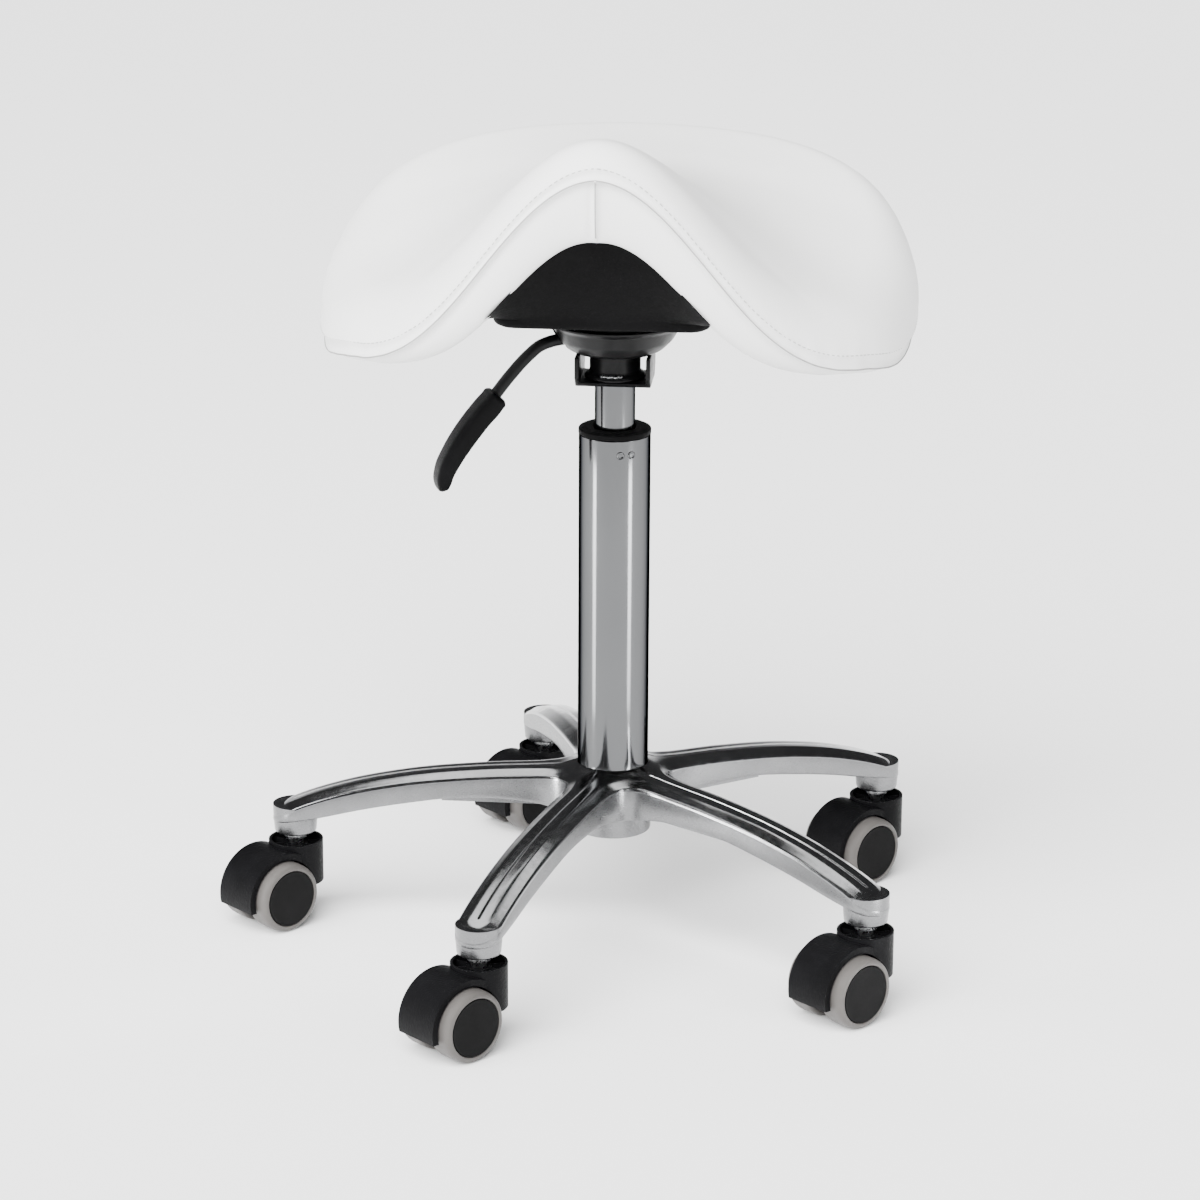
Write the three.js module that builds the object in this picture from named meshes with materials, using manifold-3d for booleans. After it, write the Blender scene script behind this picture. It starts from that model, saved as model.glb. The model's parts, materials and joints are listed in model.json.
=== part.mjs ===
// Saddle-seat dentist stool: five-star base on twin-wheel casters, gas lift and padded saddle.
// Units are millimetres, +Z is up, the origin is on the floor under the column, the seat faces -Y.
import * as THREE from 'three';
import { mergeVertices } from 'three/addons/utils/BufferGeometryUtils.js';
import Module from 'manifold-3d';

const wasm = await Module();
wasm.setup();

// ---- driving dimensions ----
const GAP = 0.3;                    // air left between neighbouring pieces
const ARM_COUNT = 5;
const FIRST_ARM = Math.PI;          // direction of the first arm
const STEM_CIRCLE = 227.8;          // radius of the caster circle
const ARM_WIDTH = 33;
const ARM_WALL = 4;                 // wall of the open channel under an arm
const CROTCH_RADIUS = 46;           // hub radius where two arms meet
const HUB_RADIUS = 27;
const HUB_BOTTOM = 76;
const HUB_TOP = 126;
const BOSS_BOTTOM = 64.3;
const BOSS_RADIUS = 16;
const STEM_RADIUS = 5.5;
const STEM_TOP = 83;
const STEM_BOTTOM = 38;
const HUB_FOOT = 100;               // where the hub's straight outer wall meets the arms
const ARM_ROOF = 5;                 // metal left above the channel
const RIB_WIDTH = 5;
const COLUMN_RADIUS = 25;
const COLUMN_WALL = 2;
const COLUMN_FOOT = 23.4;           // radius at the bottom of the column's taper
const COLUMN_FLOOR = 3;             // thickness of the column's closed bottom
const COLUMN_HOLE = 6;              // radius of the hole in that bottom
const COLUMN_BOTTOM = 84;
const COLUMN_TOP = 366;
const CYLINDER_RADIUS = 14;
const CYLINDER_WALL = 2;
const CYLINDER_BOTTOM = 150;
const CYLINDER_TOP = 424;
const VALVE_RADIUS = 3;
const ROD_RADIUS = 5;
const ROD_BOTTOM = 77;
const ROD_COLLAR = 95.1;            // underside of the collar that sits on the thrust bearing
const PISTON_BOTTOM = 296;
const PISTON_TOP = 304;
const WASHER_BORE = 5.6;
const WASHER_RADIUS = 12;
const BUSH_BOTTOM = 300;
const BUSH_TOP = 371;
const SHEET = 3;                    // sheet steel of the bracket and the seat plate
const BRACKET_BOTTOM = 403;
const BRACKET_HALF = 26;
const BOWL_BOTTOM = 425;
const BOWL_RIM = 447.5;
const PLATE_TOP = 465.6;
const PAN_BOTTOM = 466;
const WHEEL_RADIUS = 25;
const WHEEL_INNER = 5.5;            // inner face of a wheel from the caster's middle plane
const WHEEL_OUTER = 26;
const DISC_RADIUS = 20;
const CASTER_TRAIL = 25;
const CASTER_HEADING = 227.8 * Math.PI / 180;
const HOOD_RADIUS = 31;
const HOOD_HALF = 17.5;
const CUP_RADIUS = 19.5;
const CUP_TOP = 58;
const LEVER_ROD_RADIUS = 4.2;
const LEVER_PIVOT = 27;             // from the column's axis to the lever's pin
const LEVER_HEIGHT = 435;
const PIN_RADIUS = 2;
const PLATE_HALF_X = 62;
const PLATE_HALF_Y = 58;
const SCREW_RADIUS = 3;
const SCREW_TOP = 474;
const LEVER_TURN = 20 * Math.PI / 180;

// ---- materials ----
function paint(color, roughness, metalness) {
  return new THREE.MeshStandardMaterial({ color, roughness, metalness });
}


const POLISHED = paint(0xc9cacc, 0.18, 1);
const CHROME = paint(0xd6d8da, 0.08, 1);
const BLACK_STEEL = paint(0x111112, 0.4, 0.6);
const BLACK_PLASTIC = paint(0x161617, 0.55, 0);
const TYRE = paint(0x827d7a, 0.5, 0);
const LEATHER = paint(0xf0f0ee, 0.5, 0);
const STEEL = paint(0x8b8d90, 0.35, 1);

// ---- shape helpers ----
function weld(geometry) {
  const bare = geometry.clone();
  bare.deleteAttribute('normal');
  bare.deleteAttribute('uv');
  const merged = mergeVertices(bare, 1e-3);
  const index = merged.getIndex().array;
  const kept = [];
  for (let i = 0; i < index.length; i += 3) {
    const [a, b, c] = [index[i], index[i + 1], index[i + 2]];
    if (a !== b && b !== c && c !== a) kept.push(a, b, c);
  }
  if (signedVolume(merged.getAttribute('position'), kept) < 0) kept.reverse();
  merged.setIndex(kept);
  return merged;
}

function signedVolume(position, index) {
  const [a, b, c] = [new THREE.Vector3(), new THREE.Vector3(), new THREE.Vector3()];
  let sum = 0;
  for (let i = 0; i < index.length; i += 3) {
    a.fromBufferAttribute(position, index[i]);
    b.fromBufferAttribute(position, index[i + 1]);
    c.fromBufferAttribute(position, index[i + 2]);
    sum += a.dot(b.cross(c));
  }
  return sum / 6;
}

function solid(geometry) {
  const welded = weld(geometry);
  const vertProperties = new Float32Array(welded.getAttribute('position').array);
  const triVerts = new Uint32Array(welded.getIndex().array);
  return new wasm.Manifold(new wasm.Mesh({ numProp: 3, vertProperties, triVerts }));
}

function geometryOf(manifold) {
  const mesh = manifold.getMesh();
  const geometry = new THREE.BufferGeometry();
  geometry.setAttribute('position', new THREE.BufferAttribute(new Float32Array(mesh.vertProperties), 3));
  geometry.setIndex([...mesh.triVerts]);
  return geometry;
}

// A closed profile of [radius, height] pairs turned about Z.
function turned(profile, segments = 32) {
  const points = profile.map(([r, z]) => new THREE.Vector2(r, z));
  if (profile[0][0] > 0) points.push(points[0].clone());
  const geometry = new THREE.LatheGeometry(points, segments);
  geometry.rotateX(Math.PI / 2);
  return geometry;
}

const disc = (r, z0, z1, segments) => turned([[0, z0], [r, z0], [r, z1], [0, z1]], segments);
const ring = (r0, r1, z0, z1, segments) => turned([[r0, z0], [r1, z0], [r1, z1], [r0, z1]], segments);

// Turned about Y instead, at x, z; profile pairs are [radius, distance along Y].
function turnedAcross(profile, x, z, segments) {
  const geometry = turned(profile, segments);
  geometry.rotateX(-Math.PI / 2);
  geometry.translate(x, 0, z);
  return geometry;
}

function block(x0, x1, y0, y1, z0, z1) {
  const geometry = new THREE.BoxGeometry(x1 - x0, y1 - y0, z1 - z0);
  geometry.translate((x0 + x1) / 2, (y0 + y1) / 2, (z0 + z1) / 2);
  return geometry;
}

// Stacked rings of equal count, closed by a point or a centre at each end.
function lofted(rings) {
  const count = rings[0].length;
  const vertices = [];
  for (const points of rings) for (const p of points) vertices.push(...p);
  const index = [];
  for (let k = 0; k + 1 < rings.length; k++) {
    for (let i = 0; i < count; i++) {
      const j = (i + 1) % count;
      const [a, b] = [k * count + i, k * count + j];
      index.push(a, b, b + count, a, b + count, a + count);
    }
  }
  for (const [k, turn] of [[0, false], [rings.length - 1, true]]) {
    const centre = [0, 1, 2].map((axis) => rings[k].reduce((sum, p) => sum + p[axis], 0) / count);
    vertices.push(...centre);
    const hub = vertices.length / 3 - 1;
    for (let i = 0; i < count; i++) {
      const [a, b] = [k * count + i, k * count + (i + 1) % count];
      index.push(...(turn ? [a, b, hub] : [b, a, hub]));
    }
  }
  const geometry = new THREE.BufferGeometry();
  geometry.setAttribute('position', new THREE.BufferAttribute(new Float32Array(vertices), 3));
  geometry.setIndex(index);
  return geometry;
}

// Table lookup, half straight and half eased, for sizes that vary along the seat.
function along(table, t) {
  if (t <= table[0][0]) return table[0][1];
  for (let i = 1; i < table.length; i++) {
    const [t1, v1] = table[i];
    const [t0, v0] = table[i - 1];
    if (t <= t1) return v0 + (v1 - v0) * THREE.MathUtils.smoothstep(t, t0, t1) * 0.4
      + (v1 - v0) * ((t - t0) / (t1 - t0)) * 0.6;
  }
  return table[table.length - 1][1];
}

const stool = new THREE.Group();

function add(name, geometry, material, parent = stool) {
  const shape = geometry instanceof wasm.Manifold ? geometryOf(geometry) : weld(geometry);
  const mesh = new THREE.Mesh(shape, material);
  mesh.name = name;
  parent.add(mesh);
  return mesh;
}

// ---- star base ----
const ARM_TOP = [[0, 126], [26, 126], [31, 123.6], [46, 121.4], [94, 118], [151, 111], [193, 101],
  [222, 91], [246, 79.5]];
const ARM_BOTTOM = [[246, 72], [210, 79], [179, 86.6], [147, 93], [110, 98.5], [60, 97.5], [30, 91],
  [0, 90]];
const TIP_STEPS = 6;
const ROOT_RUN = 18;                // straight stretch left where the crotch curve starts

function starOutline(halfWidth, tipRadius, crotch) {
  const shape = new THREE.Shape();
  const step = 2 * Math.PI / ARM_COUNT;
  const crotchHalf = Math.asin(halfWidth / crotch);
  for (let k = 0; k < ARM_COUNT; k++) {
    const angle = FIRST_ARM + k * step;
    const [cos, sin] = [Math.cos(angle), Math.sin(angle)];
    const at = (x, y) => [x * cos - y * sin, x * sin + y * cos];
    const root = crotch * Math.cos(crotchHalf);
    if (k === 0) shape.moveTo(...at(root + ROOT_RUN, -halfWidth));
    for (let i = 0; i <= TIP_STEPS; i++) {
      const turn = -Math.PI / 2 + Math.PI * i / TIP_STEPS;
      const [x, y] = [STEM_CIRCLE + tipRadius * Math.cos(turn), halfWidth * Math.sin(turn)];
      shape.lineTo(...at(x, y));
    }
    shape.lineTo(...at(root + ROOT_RUN, halfWidth));
    const next = angle + step;
    const end = [(root + ROOT_RUN) * Math.cos(next) + halfWidth * Math.sin(next),
      (root + ROOT_RUN) * Math.sin(next) - halfWidth * Math.cos(next)];
    const middle = angle + step / 2;
    shape.quadraticCurveTo(crotch * 0.72 * Math.cos(middle), crotch * 0.72 * Math.sin(middle), ...end);
  }
  return shape;
}

function starPrism(halfWidth, tipRadius, crotch, z0, z1) {
  const options = { depth: z1 - z0, bevelEnabled: false, curveSegments: 5 };
  const geometry = new THREE.ExtrudeGeometry(starOutline(halfWidth, tipRadius, crotch), options);
  geometry.translate(0, 0, z0);
  return geometry;
}

function armBar(angle, r0, r1, width, z0, z1) {
  const geometry = block(r0, r1, -width / 2, width / 2, z0, z1);
  geometry.rotateZ(angle);
  return geometry;
}

function bossAt(angle, profile, segments) {
  const geometry = turned(profile, segments);
  geometry.translate(STEM_CIRCLE * Math.cos(angle), STEM_CIRCLE * Math.sin(angle), 0);
  return geometry;
}

const armAngles = [...Array(ARM_COUNT).keys()].map((k) => FIRST_ARM + k * 2 * Math.PI / ARM_COUNT);

function columnTaper(gap) {
  const [foot, radius] = [COLUMN_FOOT + gap, COLUMN_RADIUS + gap];
  return turned([[0, COLUMN_BOTTOM - 12], [foot, COLUMN_BOTTOM - 12], [foot, COLUMN_BOTTOM],
    [radius, HUB_TOP], [radius, HUB_TOP + 10], [0, HUB_TOP + 10]], 28);
}

function starBase() {
  const envelope = solid(turned([...ARM_BOTTOM.slice().reverse(), ...ARM_TOP.slice().reverse()], 30));
  const star = starPrism(ARM_WIDTH / 2, BOSS_RADIUS + 0.5, CROTCH_RADIUS, 60, 140);
  let base = solid(star).intersect(envelope);
  const roof = ARM_TOP.map(([r, z]) => [r, z - ARM_ROOF]).reverse();
  const hollow = solid(turned([[0, 60], [246, 60], ...roof], 20));
  for (const angle of armAngles) {
    const channelEnd = STEM_CIRCLE - BOSS_RADIUS - 3;
    const channel = armBar(angle, CROTCH_RADIUS, channelEnd, ARM_WIDTH - 2 * ARM_WALL, 60, 130);
    base = base.subtract(solid(channel).intersect(hollow));
    const rib = solid(armBar(angle, 20, 122, RIB_WIDTH, 91, 112));
    base = base.add(rib);
    base = base.add(solid(bossAt(angle, [[0, BOSS_BOTTOM], [BOSS_RADIUS - 1, BOSS_BOTTOM],
      [BOSS_RADIUS - 0.3, BOSS_BOTTOM + 2], [BOSS_RADIUS, 80], [BOSS_RADIUS, 84], [0, 84]], 18)));
  }
  const hub = [[0, HUB_BOTTOM], [HUB_RADIUS, HUB_BOTTOM], [HUB_RADIUS + 1, HUB_FOOT], [0, HUB_FOOT]];
  base = base.add(solid(turned(hub, 28)));
  base = base.subtract(solid(columnTaper(GAP)));
  for (const angle of armAngles) {
    const [bore, end] = [STEM_RADIUS + GAP, STEM_TOP + GAP];
    base = base.subtract(solid(bossAt(angle, [[0, 60], [bore, 60], [bore, end], [0, end]], 10)));
  }
  return base;
}

// ---- gas lift ----
function columnTube() {
  const inner = COLUMN_RADIUS - COLUMN_WALL;
  const floor = COLUMN_BOTTOM + COLUMN_FLOOR;
  return turned([[COLUMN_HOLE, COLUMN_BOTTOM], [COLUMN_FOOT, COLUMN_BOTTOM], [COLUMN_RADIUS, HUB_TOP],
    [COLUMN_RADIUS, COLUMN_TOP], [inner, COLUMN_TOP], [inner, HUB_TOP], [COLUMN_FOOT - COLUMN_WALL, floor],
    [COLUMN_HOLE, floor]], 28);
}

function guideBush() {
  const bore = CYLINDER_RADIUS + GAP;
  const outer = COLUMN_RADIUS - COLUMN_WALL - GAP;
  const chamfer = 1.5;
  return turned([[bore, BUSH_BOTTOM], [outer, BUSH_BOTTOM], [outer, COLUMN_TOP + GAP],
    [COLUMN_RADIUS, COLUMN_TOP + GAP], [COLUMN_RADIUS, BUSH_TOP - chamfer],
    [COLUMN_RADIUS - chamfer, BUSH_TOP], [bore, BUSH_TOP]], 28);
}

function gasCylinder() {
  const inner = CYLINDER_RADIUS - CYLINDER_WALL;
  const [rodBore, valveBore] = [ROD_RADIUS + GAP, VALVE_RADIUS + GAP];
  const [seal, head] = [CYLINDER_BOTTOM + 12, CYLINDER_TOP - 14];
  return turned([[rodBore, CYLINDER_BOTTOM], [CYLINDER_RADIUS, CYLINDER_BOTTOM],
    [CYLINDER_RADIUS, CYLINDER_TOP - 1], [CYLINDER_RADIUS - 1, CYLINDER_TOP], [valveBore, CYLINDER_TOP],
    [valveBore, head], [inner, head], [inner, seal], [rodBore, seal]], 24);
}

function pistonRod() {
  const piston = CYLINDER_RADIUS - CYLINDER_WALL - GAP;
  const [tip, neck, collar] = [4, 3, 8];
  const [grooveBottom, grooveTop] = [ROD_BOTTOM + 2, ROD_BOTTOM + 4];
  const collarTop = ROD_COLLAR + 4;
  return turned([[0, ROD_BOTTOM], [tip, ROD_BOTTOM], [tip, grooveBottom], [neck, grooveBottom],
    [neck, grooveTop], [ROD_RADIUS, grooveTop], [ROD_RADIUS, ROD_COLLAR], [collar, ROD_COLLAR],
    [collar, collarTop], [ROD_RADIUS, collarTop], [ROD_RADIUS, PISTON_BOTTOM], [piston, PISTON_BOTTOM], [piston, PISTON_TOP],
    [0, PISTON_TOP]], 14);
}

function addGasLift() {
  add('column_tube', columnTube(), CHROME);
  add('guide_bush', guideBush(), BLACK_PLASTIC);
  const washer = (outer, z0, z1) => ring(WASHER_BORE, outer, z0, z1, 16);
  add('thrust_washer_lower', washer(WASHER_RADIUS, 87.3, 89.3), STEEL);
  add('thrust_ball_cage', washer(WASHER_RADIUS - 0.5, 89.6, 92.5), STEEL);
  add('thrust_washer_upper', washer(WASHER_RADIUS, 92.8, 94.8), STEEL);
  add('retaining_clip', ring(3.5, 8, 79.3, 80.7, 12), STEEL);
  add('piston_rod', pistonRod(), CHROME);
  add('gas_cylinder', gasCylinder(), CHROME);
  add('valve_pin', disc(VALVE_RADIUS, CYLINDER_TOP - 10, LEVER_HEIGHT - LEVER_ROD_RADIUS - GAP, 10), STEEL);
}

// ---- mechanism under the seat ----
function uBracket() {
  const half = BRACKET_HALF;
  const top = BOWL_BOTTOM - GAP;
  let bracket = solid(block(-half, half, -25, 25, BRACKET_BOTTOM, top));
  const inside = block(-half + SHEET, half - SHEET, -30, 30, BRACKET_BOTTOM + SHEET, top + 5);
  bracket = bracket.subtract(solid(inside));
  bracket = bracket.subtract(solid(disc(CYLINDER_RADIUS + GAP, BRACKET_BOTTOM - 5, BRACKET_BOTTOM + 5, 32)));
  for (const side of [-1, 1]) {
    const corner = new THREE.BoxGeometry(14, 14, 200);
    corner.rotateZ(Math.PI / 4);
    corner.rotateY(Math.PI / 2);
    corner.translate(0, side * 25, BRACKET_BOTTOM);
    bracket = bracket.subtract(solid(corner).intersect(solid(block(-half - 1, half + 1, -40, 40, 380, 410))));
  }
  return bracket;
}

function bowl() {
  const skin = turned([[18.4, BOWL_BOTTOM], [29, BOWL_BOTTOM], [33.5, 427.6], [40, 434], [45.4, 443.5],
    [49, BOWL_RIM - 1.5], [49, BOWL_RIM], [45, BOWL_RIM], [38, 436], [32, 430], [28.4, 427.5],
    [18.4, 427.5]], 24);
  const slot = block(-60, -20, -6.5, 6.5, 428.5, 460);
  slot.rotateZ(LEVER_TURN);
  return solid(skin).subtract(solid(slot));
}

function coneSocket() {
  const bore = CYLINDER_RADIUS + GAP;
  const bottom = BRACKET_BOTTOM + SHEET + GAP;
  const [flange, neck, top] = [21.5, 17.6, 426];
  return turned([[bore, bottom], [flange, bottom], [flange, 408.5], [18, 410.5], [neck, 411],
    [neck, top], [bore, top]], 20);
}

function seatPlate() {
  const sheet = block(-PLATE_HALF_X, PLATE_HALF_X, -PLATE_HALF_Y, PLATE_HALF_Y, PLATE_TOP - SHEET, PLATE_TOP);
  const plateRing = ring(40, 44, BOWL_RIM + GAP, PLATE_TOP - 2, 24);
  let plate = solid(sheet).add(solid(plateRing));
  for (const [x, y] of plateScrewPlaces()) {
    const hole = disc(SCREW_RADIUS + GAP, PLATE_TOP - 10, PLATE_TOP + 5, 10);
    hole.translate(x, y, 0);
    plate = plate.subtract(solid(hole));
  }
  const slot = block(-60, -20, -7, 7, 440, 460);
  slot.rotateZ(LEVER_TURN);
  return plate.subtract(solid(slot));
}

function plateScrewPlaces() {
  const places = [];
  for (const x of [-50, 50]) for (const y of [-46, 46]) places.push([x, y]);
  return places;
}

function plateScrew() {
  const under = PLATE_TOP - SHEET - GAP;
  return turned([[0, 459], [5, 459], [6, 460], [6, under], [SCREW_RADIUS, under], [SCREW_RADIUS, SCREW_TOP],
    [0, SCREW_TOP]], 10);
}

function pinBore() {
  const r = PIN_RADIUS + GAP;
  return solid(turnedAcross([[0, -20], [r, -20], [r, 20], [0, 20]], -LEVER_PIVOT, LEVER_HEIGHT, 12));
}

// Ears that hang from the seat plate and carry the lever's pin.
function leverBracket() {
  const bridge = block(-31, -23, -9.5, 9.5, 459.6, 462.3);
  let ears = solid(bridge);
  for (const side of [-1, 1]) {
    const y = side * 7.5;
    ears = ears.add(solid(block(-31, -23, y - 2, y + 2, 431.2, 461)));
  }
  return ears.subtract(pinBore());
}

// ---- height lever ----
const LEVER_PATH = [[3, 0], [-20, 0], [-39, -0.4], [-46, -1.6], [-53.5, -4.2], [-61, -10], [-75, -24.5],
  [-86, -38]];

function leverPath() {
  const points = LEVER_PATH.map(([x, z]) => new THREE.Vector3(x, 0, LEVER_HEIGHT + z));
  return new THREE.CatmullRomCurve3(points, false, 'centripetal');
}

function leverRod() {
  const section = new THREE.Shape();
  section.absarc(0, 0, LEVER_ROD_RADIUS, 0, 2 * Math.PI);
  const options = { extrudePath: leverPath(), steps: 16, curveSegments: 4, bevelEnabled: false };
  const rod = solid(new THREE.ExtrudeGeometry(section, options));
  return rod.subtract(pinBore());
}

// Centre (x, z) of the grip with its half width and half thickness, from its collar to its tip.
const GRIP_STATIONS = [[-84, -37.2, 9.5, 6.2], [-87, -41, 10.6, 7.2], [-96.5, -51.5, 11, 7.4],
  [-106, -63.5, 11, 7.2], [-115, -77, 10.8, 6.6], [-121, -89, 10.2, 5.8], [-122.6, -97.5, 9, 4.6],
  [-122.4, -101.8, 6.5, 2.8]];

function gripRing(station, previous, next) {
  const [x, z, wide, thick] = station;
  const [dx, dz] = [next[0] - previous[0], next[1] - previous[1]];
  const length = Math.hypot(dx, dz);
  const [nx, nz] = [-dz / length, dx / length];
  const points = [];
  for (let i = 0; i < 12; i++) {
    const turn = 2 * Math.PI * (i + 0.5) / 12;
    const round = (v) => Math.sign(v) * Math.abs(v) ** 0.6;
    const [u, w] = [round(Math.cos(turn)) * thick, round(Math.sin(turn)) * wide];
    points.push([x + nx * u, w, LEVER_HEIGHT + z + nz * u]);
  }
  return points;
}

function leverGrip() {
  const last = GRIP_STATIONS.length - 1;
  const rings = GRIP_STATIONS.map((station, i) => gripRing(station,
    GRIP_STATIONS[Math.max(i - 1, 0)], GRIP_STATIONS[Math.min(i + 1, last)]));
  const section = new THREE.Shape();
  section.absarc(0, 0, LEVER_ROD_RADIUS + GAP, 0, 2 * Math.PI);
  const line = leverPath();
  const end = new THREE.Vector3(-87, 0, LEVER_HEIGHT - 39.3);
  const socket = new THREE.CatmullRomCurve3([...[0.86, 0.93, 0.999].map((t) => line.getPointAt(t)), end]);
  const options = { extrudePath: socket, steps: 4, curveSegments: 4, bevelEnabled: false };
  return solid(lofted(rings)).subtract(solid(new THREE.ExtrudeGeometry(section, options)));
}

function addLever() {
  const turn = new THREE.Group();
  turn.rotation.z = LEVER_TURN;
  stool.add(turn);
  add('lever_bracket', leverBracket(), BLACK_STEEL, turn);
  const pin = turnedAcross([[0, -11.5], [PIN_RADIUS, -11.5], [PIN_RADIUS, 11.5], [0, 11.5]],
    -LEVER_PIVOT, LEVER_HEIGHT, 12);
  add('lever_pivot_pin', pin, STEEL, turn);
  add('lever_rod', leverRod(), BLACK_STEEL, turn);
  add('lever_grip', leverGrip(), BLACK_PLASTIC, turn);
}

// ---- saddle cushion ----
const SEAT_CENTRE = 10;
const OUTLINE = [[0, -160], [62, -153], [118, -130], [163, -95], [193, -48], [206, 20], [202, 72],
  [180, 122], [138, 156], [78, 177], [0, 185]];
const RIDGE = [[-160, 600.5], [-130, 598], [-95, 589], [-40, 567], [10, 552], [50, 546], [100, 547],
  [185, 553]];
const SIDE_DROP = [[-160, 134], [-95, 114], [-40, 92], [40, 57], [100, 33], [150, 16], [185, 6]];
const SIDE_REACH = [[-160, 158], [-95, 170], [-40, 190], [40, 206], [100, 203], [185, 200]];
const BELL_SHARE = [[-95, 1], [-20, 0.8], [60, 0.35], [150, 0]];
// by the angle from the front, in degrees: roll radius, band height, band inset
const ROLL = [[0, 22], [40, 26], [70, 32], [110, 32], [180, 26]];
const BAND_DROP = [[0, 45], [25, 36], [50, 13], [75, 16], [110, 24], [180, 34]];
const BAND_INSET = [[0, 10], [30, 12], [55, 16], [100, 22], [180, 18]];
const FOAM = 64;                    // thickness in the middle
const RING_POINTS = 40;

function seatTop(x, y) {
  const reach = Math.min(Math.abs(x) / along(SIDE_REACH, y), 1.1);
  const bell = (1 - Math.cos(Math.PI * Math.min(reach, 1))) / 2;
  const share = along(BELL_SHARE, y);
  return along(RIDGE, y) - along(SIDE_DROP, y) * (share * bell + (1 - share) * reach * reach);
}

function outlineCurve() {
  const right = OUTLINE.map(([x, y]) => new THREE.Vector3(x, y, 0));
  const left = OUTLINE.slice(1, -1).reverse().map(([x, y]) => new THREE.Vector3(-x, y, 0));
  return new THREE.CatmullRomCurve3([...right, ...left], true, 'catmullrom', 0.5);
}

function cushionRings() {
  const outline = outlineCurve().getSpacedPoints(RING_POINTS).slice(0, RING_POINTS);
  const edge = outline.map((p) => {
    const [dx, dy] = [p.x, p.y - SEAT_CENTRE];
    const fromFront = Math.abs(Math.atan2(dx, -dy)) * 180 / Math.PI;
    return { dx, dy, size: Math.hypot(dx, dy), fromFront };
  });
  const place = (e, inset, height) => {
    const share = 1 - inset / e.size;
    const [x, y] = [e.dx * share, SEAT_CENTRE + e.dy * share];
    return [x, y, height(x, y)];
  };
  const crest = (e) => seatTop(e.dx, SEAT_CENTRE + e.dy);
  const rings = [];
  const topShares = [0.08, 0.3, 0.5, 0.68];
  const underShares = [0.8, 0.6, 0.4, 0.2, 0.05];
  for (const share of topShares) {
    rings.push(edge.map((e) => place(e, e.size * (1 - share), seatTop)));
  }
  for (const angle of [0, 30, 60, 90]) {
    const turn = angle * Math.PI / 180;
    rings.push(edge.map((e) => {
      const roll = along(ROLL, e.fromFront);
      return place(e, roll * (1 - Math.sin(turn)), (x, y) => seatTop(x, y) - roll * (1 - Math.cos(turn)));
    }));
  }
  const under = (e, angle) => {
    const turn = angle * Math.PI / 180;
    const equator = crest(e) - along(ROLL, e.fromFront);
    return place(e, along(BAND_INSET, e.fromFront) * (1 - Math.cos(turn)),
      () => equator - along(BAND_DROP, e.fromFront) * Math.sin(turn));
  };
  for (const angle of [45, 90]) rings.push(edge.map((e) => under(e, angle)));
  for (const share of underShares) {
    rings.push(edge.map((e) => {
      const low = under(e, 90);
      const [x, y] = [low[0] * share, SEAT_CENTRE + (low[1] - SEAT_CENTRE) * share];
      const blend = share ** 3;
      const edgeFoam = seatTop(low[0], low[1]) - low[2];
      return [x, y, seatTop(x, y) - FOAM * (1 - blend) - edgeFoam * blend];
    }));
  }
  return rings;
}

// ---- pan under the cushion ----
const PAN_HALF = 73;
const PAN_FRONT = -115;
const PAN_BACK = 112;

function roundedRing(halfWidth, front, back, corner, height) {
  const shape = new THREE.Shape();
  shape.moveTo(-halfWidth + corner, front);
  shape.lineTo(halfWidth - corner, front);
  shape.quadraticCurveTo(halfWidth, front, halfWidth, front + corner);
  shape.lineTo(halfWidth, back - corner);
  shape.quadraticCurveTo(halfWidth, back, halfWidth - corner, back);
  shape.lineTo(-halfWidth + corner, back);
  shape.quadraticCurveTo(-halfWidth, back, -halfWidth, back - corner);
  shape.lineTo(-halfWidth, front + corner);
  shape.quadraticCurveTo(-halfWidth, front, -halfWidth + corner, front);
  return shape.getSpacedPoints(28).slice(0, 28).map((p) => [p.x, p.y, height(p.x, p.y)]);
}

const PAN_SINK = 12;                // how far the pan's top reaches into the padding before it is cut

function seatPan(cushion) {
  const sunk = (x, y) => seatTop(x, y) - FOAM + PAN_SINK;
  const rings = [
    roundedRing(PAN_HALF - 7, PAN_FRONT + 3, PAN_BACK - 7, 10, () => PAN_BOTTOM),
    roundedRing(PAN_HALF, PAN_FRONT, PAN_BACK, 10, () => PAN_BOTTOM + 6),
    roundedRing(PAN_HALF + 2, PAN_FRONT - 30, PAN_BACK + 8, 10, sunk),
    roundedRing(PAN_HALF * 0.7, PAN_FRONT * 0.9, PAN_BACK * 0.7, 10, sunk),
    roundedRing(PAN_HALF * 0.35, PAN_FRONT * 0.5, PAN_BACK * 0.35, 6, sunk),
  ];
  let pan = solid(lofted(rings)).subtract(cushion.translate([0, 0, -0.5]));
  for (const [x, y] of plateScrewPlaces()) {
    const hole = disc(SCREW_RADIUS + GAP, PAN_BOTTOM - 5, SCREW_TOP + GAP, 10);
    hole.translate(x, y, 0);
    pan = pan.subtract(solid(hole));
  }
  return pan;
}

function addSeat() {
  add('cone_socket', coneSocket(), BLACK_STEEL);
  add('u_bracket', uBracket(), BLACK_STEEL);
  add('bowl', bowl(), BLACK_STEEL);
  add('seat_plate', seatPlate(), BLACK_STEEL);
  plateScrewPlaces().forEach(([x, y], i) => {
    add(`plate_screw_${i + 1}`, plateScrew(), STEEL).position.set(x, y, 0);
  });
  const cushion = solid(lofted(cushionRings()));
  add('seat_pan', seatPan(cushion), BLACK_PLASTIC);
  add('cushion', cushion, LEATHER);
}

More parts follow.
